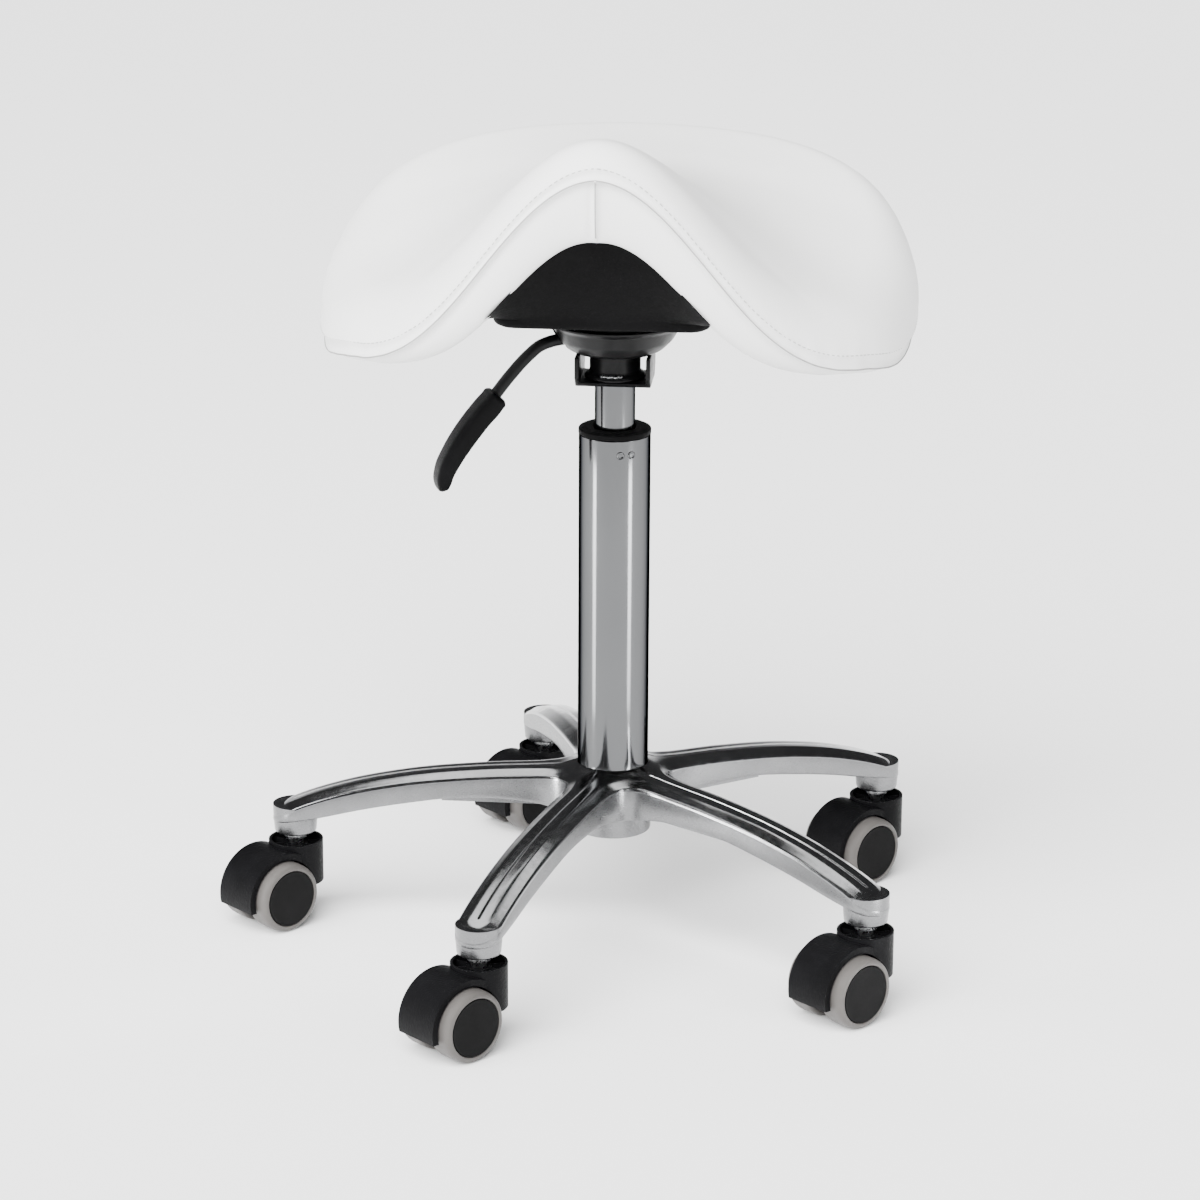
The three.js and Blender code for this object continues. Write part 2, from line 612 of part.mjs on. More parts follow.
// ---- casters: local +X is the trail direction, local Y the wheel axis ----
function hood() {
  const [x, z] = [CASTER_TRAIL, WHEEL_RADIUS];
  const clear = WHEEL_RADIUS + 1.4;
  const drum = (r, half, n) => solid(turnedAcross([[0, -half], [r, -half], [r, half], [0, half]], x, z, n));
  const cover = solid(block(-30, x + 40, -30, 30, 18, CUP_TOP));
  const opening = solid(block(-30, x - 10, -30, 30, 0, 34));
  let body = drum(HOOD_RADIUS, HOOD_HALF, 24).intersect(cover.subtract(opening));
  body = body.add(solid(disc(CUP_RADIUS, 27, CUP_TOP, 20)));
  for (const side of [-1, 1]) {
    const [y0, y1] = [side * 4.8, side * 40];
    body = body.subtract(solid(turnedAcross([[0, y0], [clear, y0], [clear, y1], [0, y1]], x, z, 20)));
  }
  const web = drum(clear + 1, 4.5, 20).intersect(solid(block(-10, x + 40, -10, 10, 12, CUP_TOP - 8)));
  body = body.add(web);
  body = body.add(solid(disc(9, 33, CUP_TOP - 8, 10)).subtract(drum(clear, 30, 20)));
  body = body.subtract(solid(ring(9, CUP_RADIUS - 2, CUP_TOP - 7, CUP_TOP + 5, 20)));
  body = body.subtract(solid(disc(10, CUP_TOP - 4, CUP_TOP + 5, 10)));
  body = body.subtract(solid(disc(STEM_RADIUS + GAP, STEM_BOTTOM - GAP, CUP_TOP + 5, 10)));
  return body.subtract(solid(turnedAcross([[0, -30], [3.3, -30], [3.3, 30], [0, 30]], x, z, 12)));
}

function wheelCore() {
  const r = DISC_RADIUS - GAP / 2;
  return turned([[0, WHEEL_OUTER], [r, WHEEL_OUTER], [r, WHEEL_INNER], [3.4, WHEEL_INNER], [3.4, 22.4],
    [0, 22.4]], 18);
}

function wheelTyre() {
  const [r0, r1] = [DISC_RADIUS + GAP / 2 + 0.2, WHEEL_RADIUS];
  return turned([[r0, WHEEL_INNER + 1], [r1, WHEEL_INNER + 1], [r1, WHEEL_OUTER - 3.5],
    [r1 - 2.8, WHEEL_OUTER], [r0, WHEEL_OUTER]], 24);
}

function addWheel(caster, number, sideName, turn) {
  const wheel = new THREE.Group();
  wheel.position.set(CASTER_TRAIL, 0, WHEEL_RADIUS);
  wheel.rotation.x = turn;
  caster.add(wheel);
  add(`wheel_core_${number}_${sideName}`, wheelCore(), BLACK_PLASTIC, wheel);
  add(`tyre_${number}_${sideName}`, wheelTyre(), TYRE, wheel);
}

function addCaster(number, angle) {
  const caster = new THREE.Group();
  caster.position.set(STEM_CIRCLE * Math.cos(angle), STEM_CIRCLE * Math.sin(angle), 0);
  caster.rotation.z = CASTER_HEADING;
  stool.add(caster);
  const stem = turned([[0, STEM_BOTTOM], [STEM_RADIUS, STEM_BOTTOM], [STEM_RADIUS, 60], [8, 60],
    [8, BOSS_BOTTOM - GAP], [STEM_RADIUS, BOSS_BOTTOM - GAP], [STEM_RADIUS, STEM_TOP],
    [0, STEM_TOP]], 10);
  add(`stem_${number}`, stem, STEEL, caster);
  add(`hood_${number}`, hood(), BLACK_PLASTIC, caster);
  const axle = turnedAcross([[0, -22], [3, -22], [3, 22], [0, 22]], CASTER_TRAIL, WHEEL_RADIUS, 12);
  add(`axle_${number}`, axle, STEEL, caster);
  addWheel(caster, number, 'near', -Math.PI / 2);
  addWheel(caster, number, 'far', Math.PI / 2);
}

add('star_base', starBase(), POLISHED);
addGasLift();
addSeat();
addLever();
armAngles.forEach((angle, i) => addCaster(i + 1, angle));

export default stool;
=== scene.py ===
"""Dentist stool: the looks.

Lengths are in millimetres until a mesh is made; camera, lights and floor are in metres.
"""
import json
import math
import bmesh
import bpy
import numpy as np
from mathutils import Matrix, Vector


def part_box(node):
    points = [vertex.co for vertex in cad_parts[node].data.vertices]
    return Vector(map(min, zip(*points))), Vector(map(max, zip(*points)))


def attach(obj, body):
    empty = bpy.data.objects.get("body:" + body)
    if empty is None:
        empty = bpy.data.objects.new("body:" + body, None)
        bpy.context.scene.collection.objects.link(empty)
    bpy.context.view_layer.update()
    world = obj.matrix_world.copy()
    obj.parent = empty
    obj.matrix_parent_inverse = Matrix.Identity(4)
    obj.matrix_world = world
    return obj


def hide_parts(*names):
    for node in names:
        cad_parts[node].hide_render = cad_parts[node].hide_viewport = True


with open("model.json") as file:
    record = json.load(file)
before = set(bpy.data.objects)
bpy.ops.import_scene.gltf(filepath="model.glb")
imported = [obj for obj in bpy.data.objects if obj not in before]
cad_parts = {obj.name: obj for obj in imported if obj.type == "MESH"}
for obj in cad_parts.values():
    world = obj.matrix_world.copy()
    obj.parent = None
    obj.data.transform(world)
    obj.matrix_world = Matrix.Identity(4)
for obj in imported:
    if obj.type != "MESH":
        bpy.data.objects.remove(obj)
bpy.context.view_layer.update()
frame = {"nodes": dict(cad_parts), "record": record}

MM = 0.001
TAU = 2 * math.pi


# ---- sizes read from the frame, in millimetres ----
def span(node):
    """Lowest and highest corner of a CAD node, in millimetres."""
    low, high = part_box(node)
    return np.array(low) / MM, np.array(high) / MM


def top(node):
    return float(span(node)[1][2])


def bottom(node):
    return float(span(node)[0][2])


def radius(node):
    low, high = span(node)
    return (high[0] - low[0]) / 2


def heights(node):
    return bottom(node), top(node)


def hinge(name):
    """Place and axis of a joint, in millimetres."""
    joint = next(j for j in frame["record"]["behaviour"]["joints"] if j["name"] == name)
    return np.array(joint["pos_m"]) / MM, np.array(joint["axis"], float)


ARMS = 5
COLUMN_R = radius("column_tube")
CYLINDER_R = radius("gas_cylinder")
STEM_CIRCLE = float(np.hypot(*hinge("caster_swivel_1")[0][:2]))
WHEEL_R = top("tyre_1_near") / 2
BOSS_R = 16.0
ARM_HALF = 16.3


# ---- mesh helpers ----
def linked(name, data):
    """A new object in the scene."""
    obj = bpy.data.objects.new(name, data)
    bpy.context.scene.collection.objects.link(obj)
    return obj


def piece(name, verts, faces, materials, body, replaces=(), slot=None, sharp=40):
    """A new piece with its mesh in place, riding on a body."""
    mesh = bpy.data.meshes.new(name)
    points = [tuple(float(c) * MM for c in v) for v in verts]
    mesh.from_pydata(points, [], [tuple(int(i) for i in f) for f in faces])
    return finish_piece(mesh, name, materials, body, replaces, sharp)


def welded(mesh, distance):
    """The mesh opened for editing, with its doubled points joined and its faces turned outwards."""
    work = bmesh.new()
    work.from_mesh(mesh)
    bmesh.ops.remove_doubles(work, verts=work.verts, dist=distance)
    bmesh.ops.recalc_face_normals(work, faces=work.faces)
    return work


def finish_piece(mesh, name, materials, body, replaces, sharp=40):
    work = welded(mesh, 1e-6)
    for edge in work.edges:
        edge.smooth = len(edge.link_faces) != 2 or edge.calc_face_angle(0) < math.radians(sharp)
    for face in work.faces:
        face.smooth = True
    work.to_mesh(mesh)
    work.free()
    obj = linked(name, mesh)
    for material in materials:
        mesh.materials.append(material)
    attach(obj, body)
    if replaces:
        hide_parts(*replaces)
    return obj


def rounded(profile, radius=0.6, steps=3, closed=False):
    """The same profile with its corners turned into small arcs."""
    points = [np.array(p, float) for p in profile]
    out = []
    for i, p in enumerate(points):
        if not closed and i in (0, len(points) - 1):
            out.append(p)
            continue
        before, after = points[i - 1] - p, points[(i + 1) % len(points)] - p
        reach = min(radius, np.linalg.norm(before) * 0.45, np.linalg.norm(after) * 0.45)
        a, b = p + before / np.linalg.norm(before) * reach, p + after / np.linalg.norm(after) * reach
        for k in range(steps + 1):
            t = k / steps
            out.append((1 - t) ** 2 * a + 2 * t * (1 - t) * p + t * t * b)
    return out


def turned_mesh(profile, segments=96, closed=False):
    """Vertices and faces of a profile of (radius, height) pairs turned about Z."""
    profile = [np.array(p, float) for p in profile]
    verts, faces = [], []
    for r, z in profile:
        for i in range(segments):
            verts.append((r * math.cos(TAU * i / segments), r * math.sin(TAU * i / segments), z))
    rows = len(profile)
    for k in range(rows if closed else rows - 1):
        m = (k + 1) % rows
        for i in range(segments):
            j = (i + 1) % segments
            faces.append((k * segments + i, k * segments + j, m * segments + j, m * segments + i))
    return np.array(verts), faces


def turned(name, profile, materials, body, replaces=(), slot=None, segments=96, closed=False,
           place=None, **more):
    verts, faces = turned_mesh(profile, segments, closed)
    if place is not None:
        verts = moved(verts, place)
    return piece(name, verts, faces, materials, body, replaces, slot, **more)


def moved(verts, matrix):
    verts = np.asarray(verts, float)
    return verts @ np.array(matrix.to_3x3()).T + np.array(matrix.translation)


def joined(parts):
    """One vertex and face list from several."""
    verts, faces, start = [], [], 0
    for part_verts, part_faces in parts:
        verts.extend(part_verts)
        faces.extend([tuple(i + start for i in f) for f in part_faces])
        start += len(part_verts)
    return verts, faces


def box_mesh(low, high):
    (x0, y0, z0), (x1, y1, z1) = low, high
    verts = [(x, y, z) for x in (x0, x1) for y in (y0, y1) for z in (z0, z1)]
    faces = [(0, 1, 3, 2), (4, 6, 7, 5), (0, 4, 5, 1), (2, 3, 7, 6), (0, 2, 6, 4), (1, 5, 7, 3)]
    return np.array(verts, float), faces


def scratch(verts, faces):
    """A throwaway object in millimetres for cutting and joining."""
    mesh = bpy.data.meshes.new("scratch")
    mesh.from_pydata([tuple(map(float, v)) for v in verts], [], [tuple(map(int, f)) for f in faces])
    work = welded(mesh, 1e-4)
    work.to_mesh(mesh)
    work.free()
    return linked("scratch", mesh)


def applied(obj):
    """The object's mesh with its modifiers applied; the object is removed."""
    depsgraph = bpy.context.evaluated_depsgraph_get()
    mesh = bpy.data.meshes.new_from_object(obj.evaluated_get(depsgraph))
    bpy.data.objects.remove(obj)
    return mesh


def carve(base, steps, bevel=0.5, bevel_steps=2):
    """Join and cut solids in order, then round the edges; gives a mesh in millimetres."""
    target = scratch(*base)
    for operation, solid in steps:
        tool = scratch(*solid)
        modifier = target.modifiers.new("cut", "BOOLEAN")
        modifier.operation = operation
        modifier.solver = "EXACT"
        modifier.object = tool
        mesh = applied(target)
        bpy.data.objects.remove(tool)
        target = linked("scratch", mesh)
    if bevel:
        modifier = target.modifiers.new("round", "BEVEL")
        modifier.width = bevel
        modifier.segments = bevel_steps
        modifier.limit_method = "ANGLE"
        modifier.angle_limit = math.radians(38)
        modifier.harden_normals = False
    return applied(target)


def table(pairs, t):
    """Smooth lookup in a list of (place, value) pairs."""
    xs, ys = zip(*pairs)
    t = np.clip(np.asarray(t, float), xs[0], xs[-1])
    slopes = np.gradient(ys, xs)
    k = np.clip(np.searchsorted(xs, t, side="right") - 1, 0, len(xs) - 2)
    xs, ys = np.array(xs, float), np.array(ys, float)
    h = xs[k + 1] - xs[k]
    u = (t - xs[k]) / h
    return ((2 * u**3 - 3 * u**2 + 1) * ys[k] + (u**3 - 2 * u**2 + u) * h * slopes[k]
            + (-2 * u**3 + 3 * u**2) * ys[k + 1] + (u**3 - u**2) * h * slopes[k + 1])


# ---- camera, light and floor, in metres ----
CAMERA_TURN = [math.radians(a) for a in (5.0, 17.6, 0.3)]     # azimuth, elevation, roll
CAMERA_DISTANCE = 2.9762
CAMERA_ASIDE = -0.00963              # aim point, to the right of the column's axis
CAMERA_AIM = 0.2444                  # aim point's height
CAMERA_LENS = 127.57                 # mm, on a 36 mm wide sensor


def make_camera():
    azimuth, elevation, roll = CAMERA_TURN
    back = Vector((math.sin(azimuth) * math.cos(elevation), -math.cos(azimuth) * math.cos(elevation),
                   math.sin(elevation)))
    right = Vector((math.cos(azimuth), math.sin(azimuth), 0))
    up = back.cross(right)
    side = right * math.cos(roll) + up * math.sin(roll)
    over = up * math.cos(roll) - right * math.sin(roll)
    place = right * CAMERA_ASIDE + Vector((0, 0, CAMERA_AIM)) + back * CAMERA_DISTANCE
    data = bpy.data.cameras.new("camera")
    data.lens = CAMERA_LENS
    data.sensor_width = 36
    camera = linked("camera", data)
    turn = Matrix((side, over, back)).transposed().to_4x4()
    camera.matrix_world = Matrix.Translation(place) @ turn
    bpy.context.scene.camera = camera


def area_light(name, place, aim, size, power):
    data = bpy.data.lights.new(name, "AREA")
    data.shape = "RECTANGLE"
    data.size, data.size_y = size
    data.energy = power
    light = linked(name, data)
    light.location = place
    light.rotation_euler = (Vector(aim) - Vector(place)).to_track_quat("-Z", "Y").to_euler()
    return light


HORIZON = (0.06, (1.2, 1.2, 1.21, 1))                 # how high up, colour
ZENITH = (0.24, (0.05, 0.05, 0.052, 1))
LOOK_AT = (0, 0, 0.35)
SOFTBOXES = [                                         # name, place, aim, size, watts
    ("softbox_left", (-1.9, -0.9, 1.3), LOOK_AT, (0.35, 1.9), 24),
    ("softbox_right", (1.9, -1.1, 1.2), LOOK_AT, (0.3, 1.8), 18),
    ("softbox_front", (0.9, -2.9, 2.0), LOOK_AT, (0.9, 0.9), 14)]
STRIPS = [("strip_left", -59, 0.5), ("strip_right", 55, 0.52)]  # name, degrees off the front, reach
STRIP_Z = 0.14
STRIP_SIZE = (0.1, 0.26)
STRIP_WATTS = 0.16
STRIP_SPREAD = math.radians(45)


def make_studio():
    """A pale horizon under a dark sky, softboxes, and two strips that light the base's sides."""
    world = bpy.data.worlds.new("studio")
    bpy.context.scene.world = world
    world.use_nodes = True
    tree = world.node_tree
    background = tree.nodes["Background"]
    background.inputs["Strength"].default_value = 1.0
    source = tree.nodes.new("ShaderNodeTexCoord")
    split = tree.nodes.new("ShaderNodeSeparateXYZ")
    sky = tree.nodes.new("ShaderNodeValToRGB")
    tree.links.new(source.outputs["Generated"], split.inputs["Vector"])
    tree.links.new(split.outputs["Z"], sky.inputs["Fac"])
    tree.links.new(sky.outputs["Color"], background.inputs["Color"])
    for element, (position, color) in zip(sky.color_ramp.elements, (HORIZON, ZENITH)):
        element.position = position
        element.color = color
    area_light("softbox_top", (-0.3, 0.5, 2.4), (0, 0, 0.3), (1.9, 1.5), 22)
    make_skylight()
    for name, side, reach in STRIPS:
        angle = math.radians(side)
        place = (reach * math.sin(angle), -reach * math.cos(angle), STRIP_Z)
        strip = area_light(name, place, (0, 0, STRIP_Z), STRIP_SIZE, STRIP_WATTS)
        strip.data.spread = STRIP_SPREAD
    for softbox in SOFTBOXES:
        area_light(*softbox)


def make_skylight():
    """Broad light from above and in front, which mirrors don't show."""
    data = bpy.data.lights.new("skylight", "SUN")
    data.energy = 13
    data.angle = math.radians(60)
    sun = linked("skylight", data)
    sun.rotation_euler = (math.radians(46), 0, math.radians(-20))
    sun.visible_glossy = False


FLOOR_HALF = 60.0                    # far enough that its edge stays below the horizon


def make_floor():
    half = FLOOR_HALF
    verts = [(-half, -half, 0), (half, -half, 0), (half, half, 0), (-half, half, 0)]
    mesh = bpy.data.meshes.new("floor")
    mesh.from_pydata(verts, [], [(0, 1, 2, 3)])
    mesh.materials.append(floor_material())
    linked("floor", mesh)


# ---- materials ----
class Nodes:
    """A few lines around a node tree, so that each material reads as a list of what it has."""

    def __init__(self, name, color, roughness, metallic=0.0, **sockets):
        self.material = bpy.data.materials.new(name)
        self.material.use_nodes = True
        self.tree = self.material.node_tree
        self.shader = self.tree.nodes["Principled BSDF"]
        self.shader.inputs["Base Color"].default_value = (*color, 1)
        self.shader.inputs["Roughness"].default_value = roughness
        self.shader.inputs["Metallic"].default_value = metallic
        for socket, value in sockets.items():
            self.shader.inputs[socket.replace("_", " ")].default_value = value
        self.height = None

    def node(self, kind, **inputs):
        node = self.tree.nodes.new(kind)
        for key, value in inputs.items():
            node.inputs[key.replace("_", " ")].default_value = value
        return node

    def link(self, a, b):
        self.tree.links.new(a, b)

    def coords(self, scale=(1, 1, 1)):
        source = self.node("ShaderNodeTexCoord")
        mapping = self.node("ShaderNodeMapping")
        mapping.inputs["Scale"].default_value = scale
        self.link(source.outputs["Object"], mapping.inputs["Vector"])
        return mapping.outputs["Vector"]

    def noise(self, scale, detail=3.0, roughness=0.5, stretch=(1, 1, 1)):
        node = self.node("ShaderNodeTexNoise", Scale=scale, Detail=detail, Roughness=roughness)
        self.link(self.coords(stretch), node.inputs["Vector"])
        return node.outputs["Fac"]

    def cells(self, scale, feature="F1"):
        node = self.node("ShaderNodeTexVoronoi", Scale=scale)
        node.feature = feature
        self.link(self.coords(), node.inputs["Vector"])
        return node.outputs["Distance"]

    def ramp(self, value, low, high, out_low, out_high):
        node = self.node("ShaderNodeMapRange")
        for key, number in (("From Min", low), ("From Max", high), ("To Min", out_low), ("To Max", out_high)):
            node.inputs[key].default_value = number
        self.link(value, node.inputs["Value"])
        return node.outputs["Result"]

    def blend_color(self, value, first, second):
        node = self.node("ShaderNodeMix")
        node.data_type = "RGBA"
        self.link(value, node.inputs["Factor"])
        node.inputs["A"].default_value = (*first, 1)
        node.inputs["B"].default_value = (*second, 1)
        self.link(node.outputs["Result"], self.shader.inputs["Base Color"])

    def vary_roughness(self, value, low, high, least, most):
        self.link(self.ramp(value, low, high, least, most), self.shader.inputs["Roughness"])

    def bump(self, value, strength, distance):
        node = self.node("ShaderNodeBump", Strength=strength, Distance=distance)
        self.link(value, node.inputs["Height"])
        if self.height is not None:
            self.link(self.height, node.inputs["Normal"])
        self.height = node.outputs["Normal"]
        self.link(self.height, self.shader.inputs["Normal"])


def floor_material():
    m = Nodes("floor_paint", (0.93, 0.93, 0.93), 0.7, Specular_IOR_Level=0.1)
    m.blend_color(m.noise(1.5, 2), (0.92, 0.92, 0.92), (0.94, 0.94, 0.94))
    return m.material


def leather_material():
    m = Nodes("white_leather", (0.8, 0.8, 0.79), 0.46, Specular_IOR_Level=0.42, Coat_Weight=0.06,
              Coat_Roughness=0.35)
    m.blend_color(m.noise(9, 4, 0.6), (0.785, 0.785, 0.778), (0.825, 0.825, 0.82))
    m.vary_roughness(m.noise(60, 4, 0.6), 0.3, 0.7, 0.40, 0.52)
    m.bump(m.cells(900, "DISTANCE_TO_EDGE"), 0.22, 0.00025)
    m.bump(m.noise(1400, 3, 0.6), 0.12, 0.0002)
    m.bump(m.noise(42), 0.06, 0.002)
    return m.material


# Painted shade: the seam groove's bottom is coloured dark grey, standing for the shade in the groove of the
# white leather.
def seam_painted_shade_material():
    m = Nodes("leather_seam_painted_shade", (0.3, 0.3, 0.295), 0.7, Specular_IOR_Level=0.15)
    m.blend_color(m.noise(300), (0.26, 0.26, 0.255), (0.34, 0.34, 0.335))
    m.bump(m.noise(1800, 2), 0.2, 0.0002)
    return m.material


# Painted shade: the white thread is coloured mid grey, standing for the shade round the stitches.
def thread_material():
    m = Nodes("white_thread_painted_shade", (0.6, 0.6, 0.59), 0.6, Sheen_Weight=0.2)
    m.blend_color(m.noise(3000, 2), (0.36, 0.36, 0.355), (0.48, 0.48, 0.47))
    m.bump(m.noise(4000, 1, 0.5, (1, 1, 3)), 0.4, 0.0001)
    return m.material


def polished_material():
    m = Nodes("polished_aluminium", (0.42, 0.424, 0.43), 0.18, 1.0)
    m.blend_color(m.noise(40), (0.39, 0.394, 0.4), (0.46, 0.464, 0.47))
    m.vary_roughness(m.noise(220, 5, 0.65), 0.3, 0.75, 0.13, 0.26)
    m.bump(m.noise(24), 0.12, 0.0016)
    m.bump(m.noise(700, 2, 0.5, (1, 1, 6)), 0.03, 0.0002)
    return m.material


def satin_material():
    m = Nodes("satin_aluminium", (0.2, 0.202, 0.205), 0.3, 1.0)
    m.blend_color(m.noise(60, 4), (0.165, 0.167, 0.17), (0.235, 0.237, 0.241))
    m.vary_roughness(m.noise(500, 3, 0.6, (1, 1, 5)), 0.3, 0.7, 0.22, 0.38)
    m.bump(m.noise(900, 3, 0.6, (1, 1, 8)), 0.12, 0.0003)
    m.bump(m.noise(30, 2), 0.1, 0.002)
    return m.material


def chrome_material():
    m = Nodes("chrome", (0.115, 0.117, 0.12), 0.1, 1.0, Specular_Tint=(0.06, 0.06, 0.06, 1))
    m.vary_roughness(m.noise(90, 4, 0.6, (1, 1, 0.1)), 0.35, 0.7, 0.08, 0.16)
    m.bump(m.noise(700, 2, 0.5, (1, 1, 0.02)), 0.03, 0.0001)
    m.blend_color(m.noise(12), (0.105, 0.107, 0.11), (0.125, 0.127, 0.13))
    return m.material


def steel_material():
    m = Nodes("turned_steel", (0.56, 0.57, 0.58), 0.3, 1.0)
    m.blend_color(m.noise(80, 4), (0.48, 0.49, 0.5), (0.62, 0.63, 0.64))
    m.vary_roughness(m.noise(400), 0.3, 0.7, 0.22, 0.4)
    m.bump(m.noise(1500, 2, 0.5, (1, 1, 0.2)), 0.1, 0.0001)
    return m.material


def zinc_material():
    m = Nodes("zinc_steel", (0.6, 0.6, 0.58), 0.35, 1.0)
    m.blend_color(m.noise(300), (0.55, 0.55, 0.54), (0.66, 0.66, 0.63))
    m.vary_roughness(m.noise(600), 0.3, 0.7, 0.28, 0.45)
    m.bump(m.noise(1200, 2), 0.1, 0.0001)
    return m.material


def moulded_material(name, color, roughness, grain, depth):
    """Black moulded plastic with the tool's texture on it."""
    m = Nodes(name, color, roughness, Specular_IOR_Level=0.05)
    lighter = tuple(c * 1.7 for c in color)
    m.blend_color(m.ramp(m.noise(30, 4, 0.6), 0.35, 0.75, 0, 1), color, lighter)
    m.vary_roughness(m.noise(grain * 0.4, 3, 0.6), 0.3, 0.7, roughness - 0.06, roughness + 0.08)
    m.bump(m.noise(grain, 2), 0.5, depth)
    m.bump(m.cells(grain * 0.7), 0.25, depth)
    return m.material


def powder_material():
    m = Nodes("black_powder_coat", (0.003, 0.003, 0.0033), 0.34, Specular_IOR_Level=0.15)
    m.blend_color(m.noise(25), (0.002, 0.002, 0.0022), (0.004, 0.004, 0.0043))
    m.vary_roughness(m.noise(200), 0.3, 0.7, 0.28, 0.42)
    m.bump(m.noise(420, 2), 0.2, 0.0003)
    return m.material


def tyre_material():
    m = Nodes("grey_tyre", (0.07, 0.065, 0.062), 0.42, Specular_IOR_Level=0.3)
    m.blend_color(m.noise(70, 4, 0.6), (0.063, 0.059, 0.056), (0.077, 0.072, 0.068))
    m.vary_roughness(m.noise(300), 0.3, 0.7, 0.36, 0.5)
    m.bump(m.noise(900, 2), 0.15, 0.0002)
    return m.material


LEATHER = leather_material()
SEAM_PAINTED_SHADE = seam_painted_shade_material()
THREAD = thread_material()
POLISHED = polished_material()
SATIN = satin_material()
CHROME = chrome_material()
STEEL = steel_material()
ZINC = zinc_material()
PAN_PLASTIC = moulded_material("pan_plastic", (0.0015, 0.0015, 0.0016), 0.6, 1300, 0.0002)
GRIP_PLASTIC = moulded_material("grip_plastic", (0.002, 0.002, 0.0022), 0.42, 1500, 0.00015)
CASTER_PLASTIC = moulded_material("caster_plastic", (0.003, 0.003, 0.0033), 0.42, 900, 0.00045)
DISC_PLASTIC = moulded_material("disc_plastic", (0.0035, 0.0035, 0.0036), 0.5, 1800, 0.00012)
POWDER = powder_material()
TYRE = tyre_material()


# ---- star base ----
# Heights over the distance from the column; the shoulder's drop over the distance from the side.
ARM_TOP = [(25, 126.2), (27, 125.4), (31, 123.6), (38, 122.2), (48, 121.3), (94, 118.2), (151, 111),
           (193, 101.3), (222, 91.3), (244, 81)]
ARM_UNDER = [(27, 91), (60, 97.5), (110, 98.5), (147, 93), (179, 86.6), (210, 79), (246, 72)]
SHOULDER = [(0, 5.6), (0.5, 4.3), (1.3, 3.4), (2.4, 2.9), (5, 1.7), (7.2, 0.6), (8.6, 0.1), (10.5, 0)]
CROTCH_R = 41.0
ROOT_X = 60.0                        # along the arm, where its straight side starts
SPINE_X = 90.0                       # along the arm, where its middle line has left the hub
RIM_R = COLUMN_R + 0.4               # where the star's top meets the column
ARM_WALL = 4.2
ARM_ROOF = 5.0
ARM_EDGE = 0.9                       # rounding of the wall's lower edge
ARM_ANGLES = [math.pi + k * TAU / ARMS for k in range(ARMS)]


def half_arm_outline():
    """Outline and spine points from the crotch's middle line to the tip, for an arm along +X."""
    middle = math.pi / ARMS
    start = np.array([CROTCH_R * math.cos(middle), CROTCH_R * math.sin(middle)])
    lean = np.array([math.sin(middle), -math.cos(middle)])
    end = np.array([ROOT_X, ARM_HALF])
    meet = start + lean * ((start[1] - ARM_HALF) / math.cos(middle))
    points, spines = [], []
    for t in np.linspace(0, 1, 12):
        points.append((1 - t) ** 2 * start + 2 * t * (1 - t) * meet + t * t * end)
        angle = middle * (1 - t)
        spines.append(np.array([RIM_R * math.cos(angle), RIM_R * math.sin(angle)]))
    for t in np.linspace(0, 1, 34)[1:]:
        x = ROOT_X + (STEM_CIRCLE - ROOT_X) * t
        points.append(np.array([x, ARM_HALF + (BOSS_R - ARM_HALF) * t]))
        near = RIM_R + (SPINE_X - RIM_R) * (x - ROOT_X) / (SPINE_X - ROOT_X)
        spines.append(np.array([min(x, near), 0.0]))
    for t in np.linspace(0, math.pi / 2, 14)[1:]:
        points.append(np.array([STEM_CIRCLE + BOSS_R * math.sin(t), BOSS_R * math.cos(t)]))
        spines.append(np.array([STEM_CIRCLE, 0.0]))
    return np.array(points), np.array(spines)


def star_rings():
    """Outline and spine of the whole star, anticlockwise, with the outline's inward normals."""
    half, half_spine = half_arm_outline()
    outline, spine = [], []
    for angle in ARM_ANGLES:
        turn = np.array([[math.cos(angle), -math.sin(angle)], [math.sin(angle), math.cos(angle)]])
        mirror = half * (1, -1)
        both = np.vstack([mirror[1:], half[::-1][1:]])
        both_spine = np.vstack([(half_spine * (1, -1))[1:], half_spine[::-1][1:]])
        outline.append(both @ turn.T)
        spine.append(both_spine @ turn.T)
    outline, spine = np.vstack(outline), np.vstack(spine)
    along = np.roll(outline, -1, 0) - np.roll(outline, 1, 0)
    along /= np.linalg.norm(along, axis=1)[:, None]
    return outline, spine, np.stack([-along[:, 1], along[:, 0]], 1)


def raised(flat, height):
    """Flat points lifted to the height a function of the radius gives."""
    return np.column_stack([flat, height(np.hypot(flat[:, 0], flat[:, 1]))])


def grid_faces(rows, count, closed_rows=False):
    faces = []
    for k in range(rows if closed_rows else rows - 1):
        m = (k + 1) % rows
        for i in range(count):
            j = (i + 1) % count
            faces.append((k * count + i, k * count + j, m * count + j, m * count + i))
    return faces


def arm_top_z(r):
    return table(ARM_TOP, r)


def arm_low_z(r):
    return table(ARM_UNDER, r)


